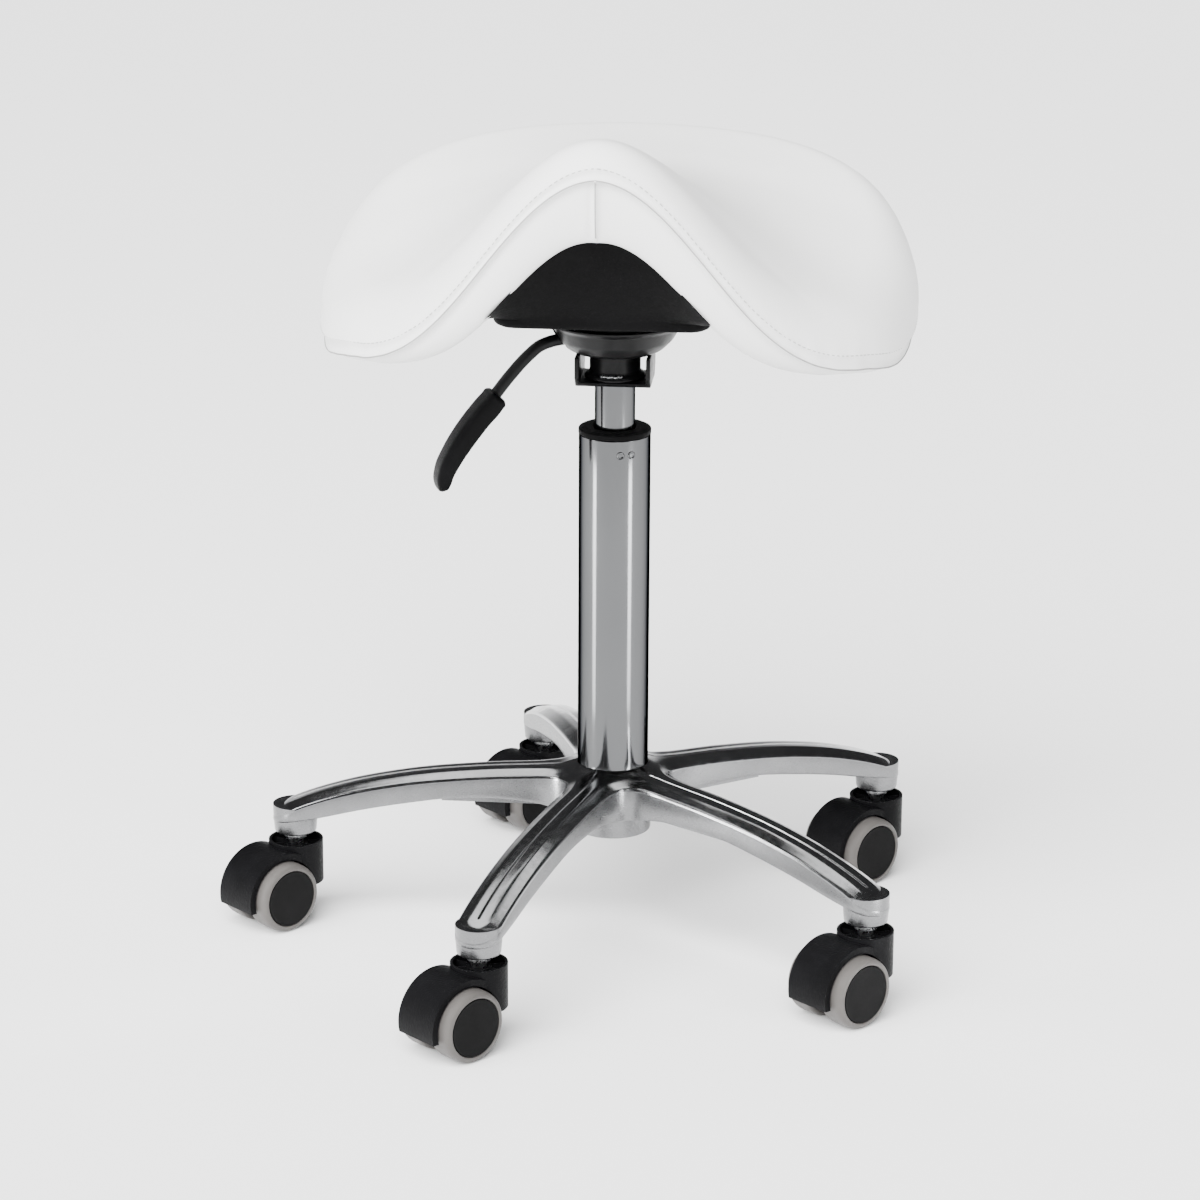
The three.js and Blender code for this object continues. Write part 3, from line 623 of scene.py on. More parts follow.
def star_mesh():
    """The whole star as rings, from the spine over the shoulder and the wall to the hollow below."""
    outline, spine, normals = star_rings()
    rings = []
    inner = outline + normals * SHOULDER[-1][0]
    for t in (1.0, 0.75, 0.5, 0.25):
        rings.append(raised(inner * (1 - t) + spine * t, arm_top_z))
    for inset, drop in reversed(SHOULDER):
        rings.append(raised(outline + normals * inset,
                            lambda r, d=drop: arm_top_z(r) - d * np.clip((r - 26) / 14, 0, 1)))
    for inset, lift in ((0, 3.0), (0, ARM_EDGE), (0.3, 0.25), (ARM_EDGE, 0), (ARM_WALL - 0.6, 0),
                        (ARM_WALL, 0.6)):
        rings.append(raised(outline + normals * inset, lambda r, h=lift: arm_low_z(r) + h))
    rings.append(raised(outline + normals * (ARM_WALL + 0.5), lambda r: arm_top_z(r) - ARM_ROOF - 6))
    inner = outline + normals * (ARM_WALL + 3)
    for t in (0.0, 0.5, 1.0):
        rings.append(raised(inner * (1 - t) + spine * t, lambda r: arm_top_z(r) - ARM_ROOF - 0.6))
    return np.vstack(rings), grid_faces(len(rings), len(outline), True)


def boss_mesh(angle):
    low = bottom("star_base")
    profile = [(6, low + 0.6), (6.6, low), (BOSS_R - 2.2, low), (BOSS_R - 1.4, low + 0.4),
               (BOSS_R - 1.0, low + 1.4), (BOSS_R - 0.35, low + 9), (BOSS_R, low + 18),
               (BOSS_R - 0.05, low + 20.6), (6, low + 20.6)]
    verts, faces = turned_mesh(profile, 72, True)
    place = (STEM_CIRCLE * math.cos(angle), STEM_CIRCLE * math.sin(angle), 0)
    return moved(verts, Matrix.Translation(place)), faces


def hub_mesh():
    profile = [(24.2, 76), (27, 76), (27.6, 92), (29.5, 99), (34, 106), (34, 112), (24.9, 112)]
    return turned_mesh(rounded(profile, 1.2, 4, True), 96, True)


def rib_mesh(angle):
    """The stiffening rib along an arm's hollow underside."""
    verts, faces = box_mesh((26, -2.5, 91.5), (122, 2.5, 110))
    return moved(verts, Matrix.Rotation(angle, 4, "Z")), faces


def make_base():
    parts = [star_mesh(), hub_mesh()]
    parts += [boss_mesh(a) for a in ARM_ANGLES] + [rib_mesh(a) for a in ARM_ANGLES]
    base = piece("star_base_polished", *joined(parts), [POLISHED, SATIN], "base", ["star_base"],
                 "polished_aluminium", sharp=50)
    for face in base.data.polygons:
        if abs(face.normal.z) < 0.35 or face.normal.z < 0:
            face.material_index = 1


# ---- column and gas lift ----
CRIMP_PROFILE = [(0, 0.15), (0.9, 0.2), (1.5, 0.5), (1.9, 0.85), (2.3, 0.9), (2.7, 0.6), (2.9, 0),
                 (0, -0.6)]


def make_column():
    low, high = heights("column_tube")
    profile = [(6, low), (23.2, low), (COLUMN_R - 0.05, 126), (COLUMN_R, 132), (COLUMN_R, high),
               (COLUMN_R - 2, high), (COLUMN_R - 2, 126), (21.3, low + 3), (6, low + 3)]
    turned("column_tube_chromed", rounded(profile, 0.5, 4, True), [CHROME], "base", ["column_tube"],
           "chrome", 160, True)
    bush_top = top("guide_bush")
    profile = [(CYLINDER_R + 0.35, 300), (22.6, 300), (22.6, high + 0.3), (COLUMN_R + 0.25, high + 0.3),
               (COLUMN_R + 0.25, bush_top - 1.2), (COLUMN_R - 2.4, bush_top), (CYLINDER_R + 1.6, bush_top),
               (CYLINDER_R + 0.35, bush_top - 1.2)]
    turned("guide_bush_moulded", rounded(profile, 0.7, 4, True), [PAN_PLASTIC], "base", ["guide_bush"],
           "black_plastic", 128, True)
    crimps = []
    for turn in (14, 32):
        angle = math.radians(-90 + turn)
        out = Matrix.Translation((COLUMN_R - 0.35, 0, high - 10)) @ Matrix.Rotation(math.pi / 2, 4, "Y")
        verts, faces = turned_mesh(CRIMP_PROFILE, 32)
        crimps.append((moved(verts, Matrix.Rotation(angle, 4, "Z") @ out), faces))
    piece("column_crimps", *joined(crimps), [CHROME], "base", [], "chrome")
    low, high = heights("gas_cylinder")
    profile = [(5.3, low), (CYLINDER_R, low), (CYLINDER_R, high), (3.4, high), (3.4, high - 14),
               (12, high - 14), (12, low + 12), (5.3, low + 12)]
    turned("gas_cylinder_chromed", rounded(profile, 0.6, 4, True), [CHROME], "seat", ["gas_cylinder"],
           "chrome", 128, True)


# ---- mechanism under the seat ----
def make_mechanism():
    low, high = heights("u_bracket")
    half = span("u_bracket")[1][0]
    plate = 3.0
    outer = box_mesh((-half, -25, low), (half, 25, high))
    inner = box_mesh((-half + plate, -30, low + plate), (half - plate, 30, high + 9))
    hole_r = CYLINDER_R + 0.3
    hole = turned_mesh([(0, low - 5), (hole_r, low - 5), (hole_r, low + 9), (0, low + 9)], 64)
    steps = [("DIFFERENCE", inner), ("DIFFERENCE", hole)]
    for side in (-1, 1):
        verts, faces = box_mesh((-40, -5, -5), (40, 5, 5))
        turn = Matrix.Translation((0, side * 25, low)) @ Matrix.Rotation(math.pi / 4, 4, "X")
        steps.append(("DIFFERENCE", (moved(verts, turn), faces)))
    mesh = carve(outer, steps, 0.8, 3)
    metres(mesh)
    finish_piece(mesh, "u_bracket_coated", [POWDER], "seat", ["u_bracket"], 35)
    profile = [(CYLINDER_R + 0.35, 406.4), (20.6, 406.4), (21.3, 407.6), (20.2, 409.4), (18.2, 410.6),
               (17.6, 412), (17.6, 424.4), (17, 425.8), (CYLINDER_R + 0.35, 425.8)]
    turned("cone_socket_welded", rounded(profile, 0.6, 4, True), [POWDER], "seat", ["cone_socket"],
           "black_steel", 96, True)
    make_weld()
    make_bowl()


def make_weld():
    weld = []
    for i in range(9):
        angle = math.radians(-112 + i * 4.6)
        radius = 18.9 + 0.5 * math.sin(i * 2.3)
        bead, faces = turned_mesh([(0, 0)] + [(2.1 * math.sin(t), 1.9 * (1 - math.cos(t)) / 2 + 0.2 * i % 0.3)
                                              for t in np.linspace(0.4, math.pi, 8)], 14)
        place = Matrix.Translation((radius * math.cos(angle), radius * math.sin(angle), 409.4))
        weld.append((moved(bead, place), faces))
    piece("socket_weld", *joined(weld), [STEEL], "seat", [], "steel")


def make_bowl():
    """The pressed bowl round the bracket, with the slot the lever comes out of."""
    low, rim = heights("bowl")
    profile = rounded([(18.5, low), (28.5, low), (33.6, low + 2.6), (40, low + 9), (45.4, low + 18.4),
                       (48.9, rim - 1.4), (49, rim), (45.6, rim), (38.2, low + 11.2), (32, low + 5.2),
                       (28.2, low + 2.5), (18.5, low + 2.5)], 1.4, 4, True)
    verts, faces = turned_mesh(profile, 128, True)
    slot, slot_faces = box_mesh((-60, -6.5, low + 3.5), (-20, 6.5, low + 40))
    mesh = carve((verts, faces), [("DIFFERENCE", (moved(slot, lever_turn()), slot_faces))], 0.35, 2)
    metres(mesh)
    finish_piece(mesh, "bowl_pressed", [POWDER], "seat", ["bowl"], 30)


def metres(mesh):
    mesh.transform(Matrix.Scale(MM, 4))


# ---- height lever ----
def lever_turn():
    axis = hinge("lever_hinge")[1]
    return Matrix.Rotation(math.atan2(-axis[0], axis[1]), 4, "Z")


LEVER_Z = float(hinge("lever_hinge")[0][2])
# Along the lever: x and height from the hinge; for the grip its half width and thickness too.
LEVER_LINE = [(3, 0), (-20, 0), (-39, -0.4), (-46, -1.6), (-53.5, -4.2), (-61, -10), (-75, -24.5), (-86, -38)]
GRIP = [(-83.4, -36.6, 8.4, 5.2), (-84.2, -37.5, 10.0, 6.6), (-87, -41, 10.7, 7.3), (-96.5, -51.5, 11, 7.4),
        (-106, -63.5, 11, 7.2), (-115, -77, 10.7, 6.6), (-121, -89, 10.1, 5.8), (-122.6, -97.5, 8.8, 4.6),
        (-122.5, -100.8, 6.6, 3.2), (-122.3, -102.2, 3.2, 1.5)]
GRIP_SQUARE = 0.42                   # 1 is an ellipse, 0 a rectangle
ROD_R = 4.2


def lengths(points):
    """Distance along a line of points, from its first to each of them."""
    return np.concatenate([[0], np.cumsum(np.linalg.norm(np.diff(points, axis=0), axis=1))])


def smooth_line(points, count):
    """Evenly taken points on a smooth curve through the given ones."""
    points = np.array(points, float)
    place = lengths(points[:, :2])
    where = np.linspace(0, place[-1], count)
    return np.column_stack([table(list(zip(place, points[:, i])), where) for i in range(points.shape[1])])


def sweep_line(line, section):
    """Rings across a line of (x, z) points; section(k) gives (across, sideways) points for ring k."""
    along = np.gradient(line[:, :2], axis=0)
    along /= np.linalg.norm(along, axis=1)[:, None]
    rings = []
    for k, (x, z) in enumerate(line[:, :2]):
        nx, nz = -along[k][1], along[k][0]
        rings.append([(x + nx * u, w, LEVER_Z + z + nz * u) for u, w in section(k)])
    count = len(rings[0])
    verts = [p for ring in rings for p in ring]
    faces = grid_faces(len(rings), count)
    faces.append(tuple(range(count)))
    faces.append(tuple(range(len(verts) - count, len(verts))))
    return np.array(verts), faces


def make_lever():
    turn = lever_turn()
    line = smooth_line(LEVER_LINE, 60)
    circle = [(ROD_R * math.cos(t), ROD_R * math.sin(t)) for t in np.linspace(0, TAU, 32, endpoint=False)]
    verts, faces = sweep_line(line, lambda k: circle)
    piece("lever_rod_bent", moved(verts, turn), faces, [POWDER], "lever", ["lever_rod"], "black_steel")
    line = smooth_line(GRIP, 54)

    def section(k):
        wide, thick = line[k][2], line[k][3]
        ring = []
        for t in np.linspace(0, TAU, 48, endpoint=False):
            c, s = math.cos(t), math.sin(t)
            ring.append((math.copysign(abs(c) ** GRIP_SQUARE, c) * thick,
                         math.copysign(abs(s) ** GRIP_SQUARE, s) * wide))
        return ring

    verts, faces = sweep_line(line, section)
    piece("lever_grip_moulded", moved(verts, turn), faces, [GRIP_PLASTIC], "lever", ["lever_grip"],
          "black_plastic", sharp=60)


# ---- saddle cushion ----
SEAT_CENTRE = 10                     # Y of the middle the profiles are taken from
OUTLINE = [(0, -160), (62, -153), (118, -130), (163, -95), (193, -48), (206, 20), (202, 72),
           (180, 122), (138, 156), (78, 177), (0, 185)]
# Height of the middle line over Y, and how far and at what |X| the top falls away from it.
RIDGE = [(-160, 600.5), (-130, 598), (-95, 589), (-40, 567), (10, 552), (50, 546), (100, 547), (185, 553)]
SIDE_DROP = [(-160, 134), (-95, 114), (-40, 92), (40, 57), (100, 33), (150, 16), (185, 6)]
SIDE_REACH = [(-160, 158), (-95, 170), (-40, 190), (40, 206), (100, 203), (185, 200)]
BELL_SHARE = [(-95, 1), (-20, 0.8), (60, 0.35), (150, 0)]
# Over the direction, in degrees from the front: the edge's roll, the band below it, the seam.
ROLL = [(0, 22), (40, 26), (70, 32), (110, 32), (180, 26)]
BAND_DROP = [(0, 45), (25, 36), (50, 13), (75, 16), (110, 24), (180, 34)]
BAND_INSET = [(0, 10), (30, 12), (55, 16), (100, 22), (180, 18)]
SEAM_AT = [(0, 0.02), (25, 0.05), (50, 0.22), (80, 0.42), (120, 0.5), (180, 0.35)]
FOAM = 64                            # the cushion's thickness over the pan
STITCH_OFF = 7.0                     # from the seam to the row of stitches
STITCH_STEP = 4.4
# Distances of the rings from the seam, closest where the groove is.
SEAM_STEPS = (-9.5, -8, -7, -6, -4.5, -3.2, -2.2, -1.4, -0.8, -0.35, 0, 0.35, 0.8, 1.4, 2.2, 3.2, 5, 7.5)
NOT_SIDE = 99                        # "distance from the seam" of rings on the top and the underside


def seat_top(x, y):
    reach = np.minimum(np.abs(x) / table(SIDE_REACH, y), 1.1)
    bell = (1 - np.cos(np.pi * np.minimum(reach, 1))) / 2
    share = table(BELL_SHARE, y)
    return table(RIDGE, y) - table(SIDE_DROP, y) * (share * bell + (1 - share) * reach**2)


def seat_outline(count, front_extra=()):
    """Points round the seat's widest line, starting at the front centre."""
    right = [np.array(p, float) for p in OUTLINE]
    points = right + [p * (-1, 1) for p in right[1:-1][::-1]]
    dense = []
    n = len(points)
    for i in range(n):
        p0, p1, p2, p3 = points[i - 1], points[i], points[(i + 1) % n], points[(i + 2) % n]
        for t in np.linspace(0, 1, 40, endpoint=False):
            dense.append(0.5 * (2 * p1 + (p2 - p0) * t + (2 * p0 - 5 * p1 + 4 * p2 - p3) * t * t
                                + (3 * p1 - p0 - 3 * p2 + p3) * t**3))
    dense = np.array(dense + [dense[0]])
    length = lengths(dense)
    where = np.linspace(0, length[-1], count, endpoint=False)
    extra = [e % length[-1] for e in front_extra]
    where = np.unique(np.round(np.concatenate([where, extra]), 4))
    return np.column_stack([np.interp(where, length, dense[:, i]) for i in (0, 1)]), where


class SeatEdge:
    """The cushion's profile in each direction from its middle."""

    def __init__(self, count, front_extra=()):
        outline, self.where = seat_outline(count, front_extra)
        self.out = outline - (0, SEAT_CENTRE)
        self.size = np.hypot(self.out[:, 0], self.out[:, 1])
        self.turn = np.degrees(np.abs(np.arctan2(self.out[:, 0], -self.out[:, 1])))
        self.roll = table(ROLL, self.turn)
        self.drop = table(BAND_DROP, self.turn)
        self.inset = table(BAND_INSET, self.turn)
        self.seam = table(SEAM_AT, self.turn)
        self.equator = seat_top(outline[:, 0], outline[:, 1]) - self.roll

    def at(self, inset):
        share = 1 - inset / self.size
        return self.out[:, 0] * share, SEAT_CENTRE + self.out[:, 1] * share

    def crown(self, share):
        """A ring on the top, share 1 being where the roll starts."""
        x, y = self.at(self.size * (1 - share * (1 - self.roll / self.size)))
        return np.column_stack([x, y, seat_top(x, y)])

    def side(self, w):
        """w is -1 where the roll starts, 0 at the widest line and 1 at the band's bottom edge."""
        upper = np.clip(-w, 0, 1) * math.pi / 2
        lower = np.clip(w, 0, 1) * math.pi / 2
        x, y = self.at(np.where(w < 0, self.roll * (1 - np.cos(upper)), self.inset * (1 - np.cos(lower))))
        above = seat_top(x, y) - self.roll * (1 - np.sin(upper))
        return np.column_stack([x, y, np.where(w < 0, above, self.equator - self.drop * np.sin(lower))])

    def under(self, share):
        low = self.side(np.ones(len(self.size)))
        x, y = low[:, 0] * share, SEAT_CENTRE + (low[:, 1] - SEAT_CENTRE) * share
        blend = share**3
        edge_foam = seat_top(low[:, 0], low[:, 1]) - low[:, 2]
        return np.column_stack([x, y, seat_top(x, y) - FOAM * (1 - blend) - edge_foam * blend])

    def by_seam(self, distance):
        """A place measured in millimetres from the seam, down the side."""
        above, below = self.roll * 1.57, self.drop * 1.2
        room = np.minimum(1.0, (0.97 - self.seam) * below / 10.0) if distance > 0 else 1.0
        place = self.seam * below + distance * room
        return np.clip(np.where(place < 0, place / above, place / below), -1, 0.985)


def grid_normals(grid):
    around = np.roll(grid, -1, 1) - np.roll(grid, 1, 1)
    down = np.gradient(grid, axis=0)
    normal = np.cross(down, around)
    return -normal / np.maximum(np.linalg.norm(normal, axis=2, keepdims=True), 1e-9)


def cushion_grid(edge):
    """All rings from the crown to the underside, with each ring's distance from the seam."""
    rings, distance = [], []
    ones = np.ones(len(edge.size))
    for share in np.linspace(0.03, 1, 22)[:-1] ** 0.8:
        rings.append(edge.crown(share))
        distance.append(-NOT_SIDE)
    first = edge.by_seam(SEAM_STEPS[0])
    for t in np.linspace(0, 1, 12)[:-1]:
        rings.append(edge.side(-ones + (first + 1) * t))
        distance.append(-60 + 50 * t)
    for step in SEAM_STEPS:
        rings.append(edge.side(edge.by_seam(step)))
        distance.append(step)
    last = edge.by_seam(SEAM_STEPS[-1])
    for t in np.linspace(0, 1, 9)[1:]:
        rings.append(edge.side(last + (1 - last) * t))
        distance.append(10 + 20 * t)
    for share in (0.985, 0.95, 0.85, 0.7, 0.5, 0.3, 0.1):
        rings.append(edge.under(share))
        distance.append(NOT_SIDE)
    return np.array(rings), np.array(distance, float)


def cushion_relief(edge, grid, distance):
    """How far each point stands out of the plain shape: seam groove, puffed panels, stitch dents, puckers."""
    d = distance[:, None]
    around = edge.where[None, :]
    lobes = np.exp(-((edge.turn - 52) / 22) ** 2)[None, :]
    seam = -2.6 * np.exp(-(d / 0.9) ** 2) + 0.8 * np.exp(-((np.abs(d) - 3.4) / 2.2) ** 2)
    row = -0.7 * np.exp(-((d + STITCH_OFF) / 1.1) ** 2)
    dents = 0.3 * np.cos(TAU * around / STITCH_STEP) * np.exp(-((d + STITCH_OFF) / 1.3) ** 2)
    pucker = (0.30 * np.sin(around / 3.1) + 0.22 * np.sin(around / 5.3 + 1.1)) * lobes \
        * np.exp(-((d + 5) / 6.5) ** 2)
    x = grid[:, :, 0]
    on_band = (d > 0) * np.exp(-(edge.turn / 14) ** 2)[None, :] * np.clip((28 - d) / 8, 0, 1)
    centre = (-2.6 * np.exp(-(x / 0.9) ** 2) + 0.7 * np.exp(-((np.abs(x) - 3.2) / 2.0) ** 2)) * on_band
    crown = 0.5 * np.sin(around / 61 + 0.7) * np.sin(d / 17) * (np.abs(d) < 60)
    return seam + row + dents + pucker + centre + crown * 0.3


def stitch_mesh(place, along, out):
    """One short stitch lying on the leather."""
    length, thick = 3.0, 0.42
    side = np.cross(out, along)
    verts = []
    for t in np.linspace(-1, 1, 7):
        lift = thick * (0.75 * (1 - t * t) + 0.05)
        fat = thick * math.sqrt(max(1 - abs(t) ** 3, 0.06))
        for a in np.linspace(0, TAU, 8, endpoint=False):
            verts.append(place + along * t * length / 2 + out * (lift + fat * math.sin(a))
                         + side * fat * math.cos(a))
    faces = grid_faces(7, 8)
    faces += [tuple(range(8)), tuple(range(48, 56))]
    return np.array(verts), faces


def closed_grid(grid):
    """A grid of rings as a mesh, its first and last ring closed by a fan."""
    rows, count = grid.shape[:2]
    last = (rows - 1) * count
    verts = np.vstack([grid.reshape(-1, 3), grid[0].mean(0)[None], grid[-1].mean(0)[None]])
    faces = grid_faces(rows, count)
    faces += [((i + 1) % count, i, rows * count) for i in range(count)]
    faces += [(last + i, last + (i + 1) % count, rows * count + 1) for i in range(count)]
    return verts, faces


def make_cushion():
    # Extra points either side of the front's middle, for its short seam.
    near_centre = [s * e for e in (0.35, 0.8, 1.4, 2.2, 3.2, 4.6) for s in (-1, 1)]
    edge = SeatEdge(900, near_centre)
    grid, distance = cushion_grid(edge)
    normals = grid_normals(grid)
    grid = grid + normals * cushion_relief(edge, grid, distance)[:, :, None]
    cushion = piece("cushion_leather", *closed_grid(grid), [LEATHER], "seat", ["cushion"], "white_leather",
                    sharp=80)
    make_seam_shade(edge, grid, normals, distance)
    make_stitches(grid, normals, distance)


def shade_strip(line, out, closed):
    """A thin strip along the bottom of a seam groove, dark grey as painted shade of the groove."""
    half, depth, lift = 0.42, 0.5, 0.12
    along = np.roll(line, -1, 0) - np.roll(line, 1, 0)
    if not closed:
        along[0], along[-1] = line[1] - line[0], line[-1] - line[-2]
    side = np.cross(out, along / np.linalg.norm(along, axis=1)[:, None])
    corners = ((-half, lift), (half, lift), (half, -depth), (-half, -depth))
    rings = [line + side * x + out * z for x, z in corners]
    count = len(line)
    faces = []
    for a, b in ((0, 1), (1, 2), (2, 3), (3, 0)):
        for i in range(count if closed else count - 1):
            j = (i + 1) % count
            faces.append((a * count + i, a * count + j, b * count + j, b * count + i))
    if not closed:
        faces += [(0, count, 2 * count, 3 * count), tuple((k + 1) * count - 1 for k in (3, 2, 1, 0))]
    return np.vstack(rings), faces


# Painted shade: a dark strip laid in the seam groove and along the front's short seam, where the groove is in
# shade.
def make_seam_shade(edge, grid, normals, distance):
    row = int(np.argmin(np.abs(distance)))
    middle = int(np.argmin(np.abs(grid[row, :, 0]) + 1000 * (edge.turn > 90)))
    rows = np.flatnonzero((distance > 0.3) & (distance < 24))
    parts = [shade_strip(grid[row], normals[row], True),
             shade_strip(grid[rows, middle], normals[rows, middle], False)]
    piece("cushion_seam_painted_shade", *joined(parts), [SEAM_PAINTED_SHADE], "seat", [], "white_leather", sharp=40)


def make_stitches(grid, normals, distance):
    row = int(np.argmin(np.abs(distance + STITCH_OFF)))
    line, out = grid[row], normals[row]
    loop, loop_out = np.vstack([line, line[:1]]), np.vstack([out, out[:1]])
    length = lengths(loop)
    stitches = []

    def at(values, where):
        return np.array([np.interp(where, length, values[:, i]) for i in range(3)])

    for s in np.arange(STITCH_STEP / 2, length[-1], length[-1] / round(length[-1] / STITCH_STEP)):
        place = at(loop, s)
        along = at(loop, min(s + 1.2, length[-1])) - at(loop, max(s - 1.2, 0))
        normal = at(loop_out, s)
        stitches.append(stitch_mesh(place, along / np.linalg.norm(along), normal / np.linalg.norm(normal)))
    piece("cushion_stitches", *joined(stitches), [THREAD], "seat", [], "white_leather", sharp=80)


# ---- pan under the cushion ----
PAN_HALF, PAN_FRONT, PAN_BACK = 73, -115, 112   # the flat bottom's half width and its ends in Y
PAN_CORNER = 11
PAN_EDGE = 6.5                       # rounding between the bottom and the sides
PAN_RING = 160


def rounded_ring(half, front, back, corner):
    """A rectangle with round corners, evenly spaced, as x, y points."""
    points = []
    for cx, cy, start in ((half - corner, back - corner, 0), (-half + corner, back - corner, 90),
                          (-half + corner, front + corner, 180), (half - corner, front + corner, 270)):
        for t in np.radians(np.linspace(start, start + 90, 12)):
            points.append((cx + corner * math.cos(t), cy + corner * math.sin(t)))
    points = np.array(points + [points[0]])
    length = lengths(points)
    where = np.linspace(0, length[-1], PAN_RING, endpoint=False)
    return np.column_stack([np.interp(where, length, points[:, i]) for i in (0, 1)])


def pan_top(x, y):
    return seat_top(x, y) - FOAM - 0.9


def make_pan():
    floor_z, half, front, back = bottom("seat_pan"), PAN_HALF, PAN_FRONT, PAN_BACK
    rings = []

    def ring(half_width, y0, y1, corner, z=None):
        flat = rounded_ring(half_width, y0, y1, corner)
        level = pan_top(flat[:, 0], flat[:, 1]) if z is None else np.full(len(flat), z)
        rings.append(np.column_stack([flat, level]))

    for share in (0.05, 0.3, 0.55, 0.8):
        ring(half * share, front * share, back * share, 12 * share)
    base_ring = rounded_ring(half, front, back, PAN_CORNER)
    lip_ring = rounded_ring(half + 2.5, front - 31, back + 7, PAN_CORNER)
    lip_z = pan_top(lip_ring[:, 0], lip_ring[:, 1])
    inner = lip_ring * 0.985
    rings.append(np.column_stack([inner, pan_top(inner[:, 0], inner[:, 1])]))
    for t in np.linspace(0, 1, 14):
        flat = lip_ring * (1 - t) + base_ring * t
        bulge = 2.2 * math.sin(math.pi * t)
        flat = flat * (1 + bulge / np.maximum(np.hypot(flat[:, 0], flat[:, 1]), 60)[:, None])
        rings.append(np.column_stack([flat, lip_z * (1 - t) + (floor_z + PAN_EDGE) * t]))
    for turn in np.radians([25, 50, 75, 90]):
        inset = PAN_EDGE * (1 - math.cos(turn))
        ring(half - inset, front + inset * 0.5, back - inset, PAN_CORNER,
             floor_z + PAN_EDGE * (1 - math.sin(turn)))
    for share in (0.8, 0.5, 0.2, 0.02):
        ring((half - PAN_EDGE) * share, (front + 3) * share, (back - PAN_EDGE) * share, 10 * share, floor_z)
    piece("seat_pan_moulded", *closed_grid(np.array(rings)), [PAN_PLASTIC], "seat", ["seat_pan"],
          "black_plastic", sharp=45)


# ---- casters ----
STEM_BORE = 5.9
SHELL_R, SHELL_HALF = 31, 17.5       # the hood's drum round the wheels
CUP_R = 19.5                         # the upright cup over the stem
WEB_HALF = 4.8                       # the web between the two wheels


def hood_solid():
    """One hood in its own frame: +X is the trail direction, Y the wheel axis, the stem on Z."""
    trail = caster_trail()
    clear, cup_top = WHEEL_R + 1.4, top("hood_1")

    def across(r, y0, y1, n=96):
        verts, faces = turned_mesh([(0, y0), (r, y0), (r, y1), (0, y1)], n)
        place = Matrix.Translation((trail, 0, WHEEL_R)) @ Matrix.Rotation(-math.pi / 2, 4, "X")
        return moved(verts, place), faces

    def upright(r, z0, z1, n=72):
        return turned_mesh([(0, z0), (r, z0), (r, z1), (0, z1)], n)

    steps = [("INTERSECT", box_mesh((-30, -30, 18), (trail + 40, 30, cup_top))),
             ("DIFFERENCE", box_mesh((-40, -31, -5), (trail - 10, 31, 34))),
             ("UNION", upright(CUP_R, 27, cup_top))]
    for y0, y1 in ((WEB_HALF, 40), (-40, -WEB_HALF)):
        steps.append(("DIFFERENCE", across(clear, y0, y1)))
    web_step = box_mesh((-8, -4.5, 12), (trail + clear * 0.7, 4.5, 44))
    steps += [("UNION", web_step), ("DIFFERENCE", upright(CUP_R - 1.9, cup_top - 7, cup_top + 9))]
    tube = [(STEM_BORE, cup_top - 9), (8.6, cup_top - 9), (8.6, cup_top - 3), (STEM_BORE, cup_top - 3)]
    steps.append(("UNION", turned_mesh(tube, 48, True)))
    for k in range(8):
        rib, rib_faces = box_mesh((8, -0.7, cup_top - 8.5), (CUP_R - 1, 0.7, cup_top - 2.6))
        steps.append(("UNION", (moved(rib, Matrix.Rotation(k * TAU / 8 + 0.3, 4, "Z")), rib_faces)))
    steps += [("DIFFERENCE", upright(STEM_BORE, 36, cup_top + 9)), ("DIFFERENCE", across(3.3, -30, 30, 32))]
    return carve(across(SHELL_R, -SHELL_HALF, SHELL_HALF), steps, 0.7, 2)


def caster_trail():
    """How far the wheels' axle lies from the stem."""
    stem, axle = hinge("caster_swivel_1")[0], span("axle_1")
    middle = (axle[0] + axle[1]) / 2
    return float(np.hypot(middle[0] - stem[0], middle[1] - stem[1]))


def caster_matrix(number):
    """From a caster's own frame to the stool's."""
    stem = hinge(f"caster_swivel_{number}")[0]
    low, high = span(f"axle_{number}")
    middle = (low + high) / 2
    heading = math.atan2(middle[1] - stem[1], middle[0] - stem[0])
    return Matrix.Translation((stem[0], stem[1], 0)) @ Matrix.Rotation(heading, 4, "Z")


def wheel_place(number, side):
    turn = -math.pi / 2 if side == "near" else math.pi / 2
    axle = Matrix.Translation((caster_trail(), 0, WHEEL_R))
    return caster_matrix(number) @ axle @ Matrix.Rotation(turn, 4, "X")


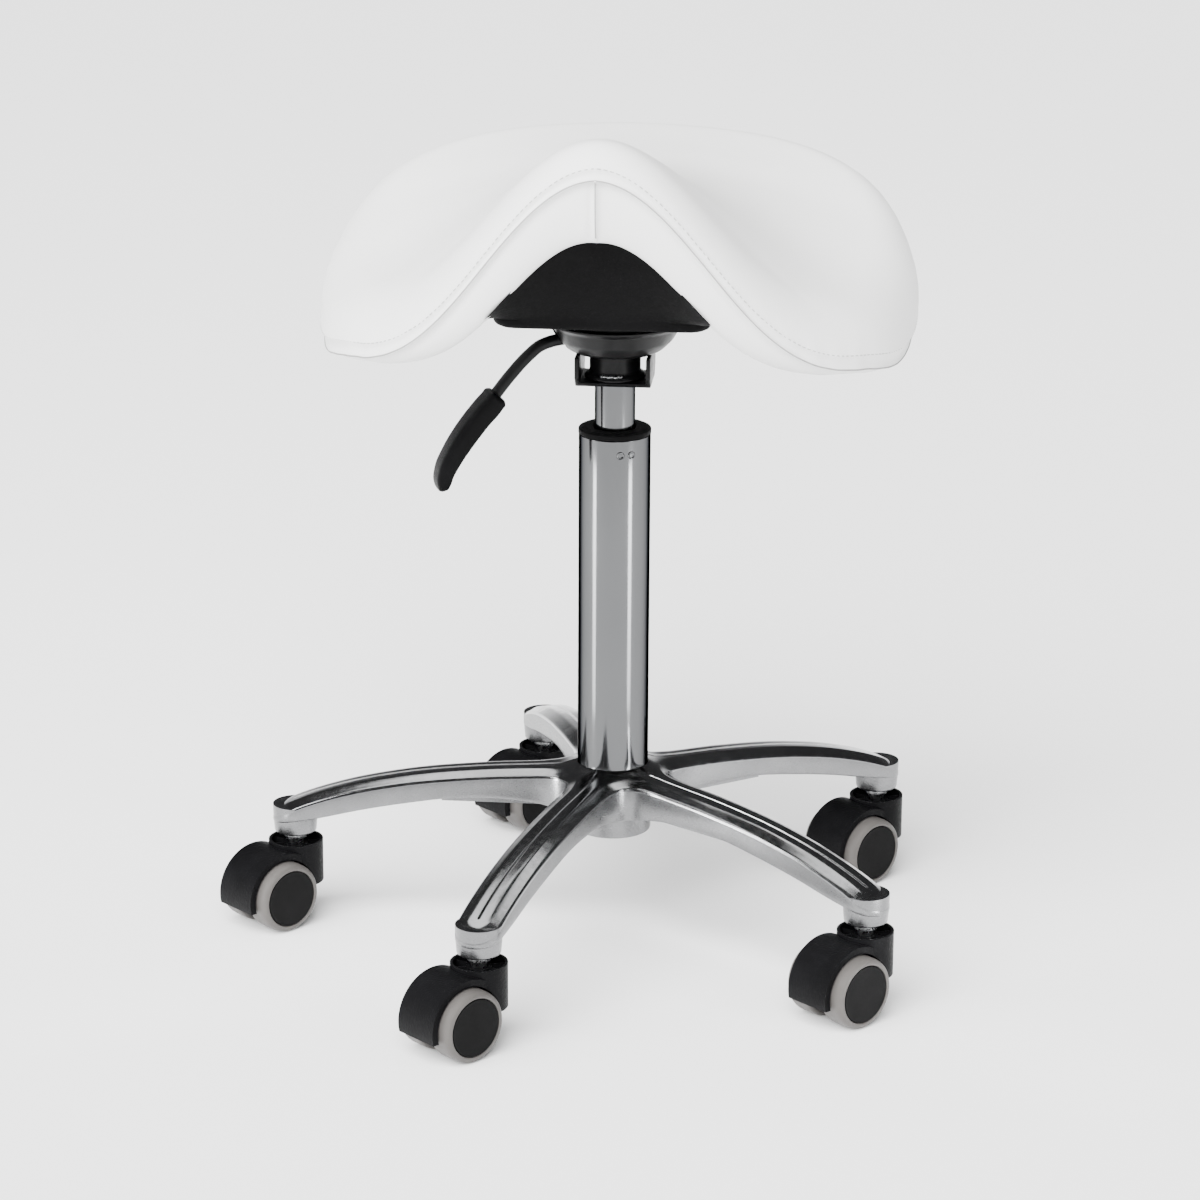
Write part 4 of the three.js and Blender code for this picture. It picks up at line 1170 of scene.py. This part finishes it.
TYRE_PROFILE = [(20.35, 6.5), (22.5, 6.0), (24.2, 6.6), (24.9, 8.0), (25.0, 10.0), (25.0, 20.5), (24.8, 22.4),
                (24.2, 24.1), (23.2, 25.3), (22.0, 25.9), (20.9, 25.95), (20.4, 25.4)]
CORE_PROFILE = [(0, 25.55), (14, 25.55), (18.6, 25.6), (19.4, 25.75), (19.95, 25.6), (20.1, 25.1),
                (20.1, 7.0), (19.0, 6.6), (16.5, 6.6), (16.0, 12.0), (8.0, 12.0), (7.4, 5.6), (3.5, 5.6),
                (3.5, 22.4), (0, 22.4)]


def make_casters():
    hood = hood_solid()
    metres(hood)
    for number in range(1, ARMS + 1):
        matrix = caster_matrix(number)
        mesh = hood.copy()
        mesh.transform(Matrix.Translation(matrix.translation * MM) @ matrix.to_3x3().to_4x4())
        finish_piece(mesh, f"hood_{number}_moulded", [CASTER_PLASTIC], f"caster_{number}", [f"hood_{number}"],
                     35)
        stem_low, stem_high = heights(f"stem_{number}")
        boss = bottom("star_base")
        stem = rounded([(0, stem_low), (5.5, stem_low), (5.5, 59.4), (8, 59.4), (8, boss - 0.3),
                        (5.5, boss - 0.3), (5.5, stem_high), (0, stem_high)], 0.5, 3)
        turned(f"stem_{number}_turned", stem, [STEEL], "base", [f"stem_{number}"], "steel", 48, place=matrix)
        for side in ("near", "far"):
            place = wheel_place(number, side)
            body = f"wheel_{number}_{side}"
            turned(f"tyre_{number}_{side}_moulded", rounded(TYRE_PROFILE, 0.5, 3, True), [TYRE], body,
                   [f"tyre_{number}_{side}"], "grey_tyre", 96, True, place, sharp=60)
            turned(f"wheel_core_{number}_{side}_moulded", rounded(CORE_PROFILE, 0.3, 2), [DISC_PLASTIC], body,
                   [f"wheel_core_{number}_{side}"], "caster_plastic", 96, False, place, sharp=45)


# ---- CAD nodes that stay, with a finish of their own ----
KEPT = {STEEL: ["thrust_washer_lower", "thrust_ball_cage", "thrust_washer_upper", "retaining_clip",
                "valve_pin", "lever_pivot_pin"] + [f"axle_{k}" for k in range(1, ARMS + 1)],
        CHROME: ["piston_rod"],
        POWDER: ["seat_plate", "lever_bracket"],
        ZINC: [f"plate_screw_{k}" for k in range(1, 5)]}


def finish_kept():
    for material, nodes in KEPT.items():
        for node in nodes:
            obj = frame["nodes"][node]
            for slot in obj.material_slots:
                slot.material = material


make_camera()
make_studio()
make_floor()
make_base()
make_column()
make_mechanism()
make_lever()
make_cushion()
make_pan()
make_casters()
finish_kept()
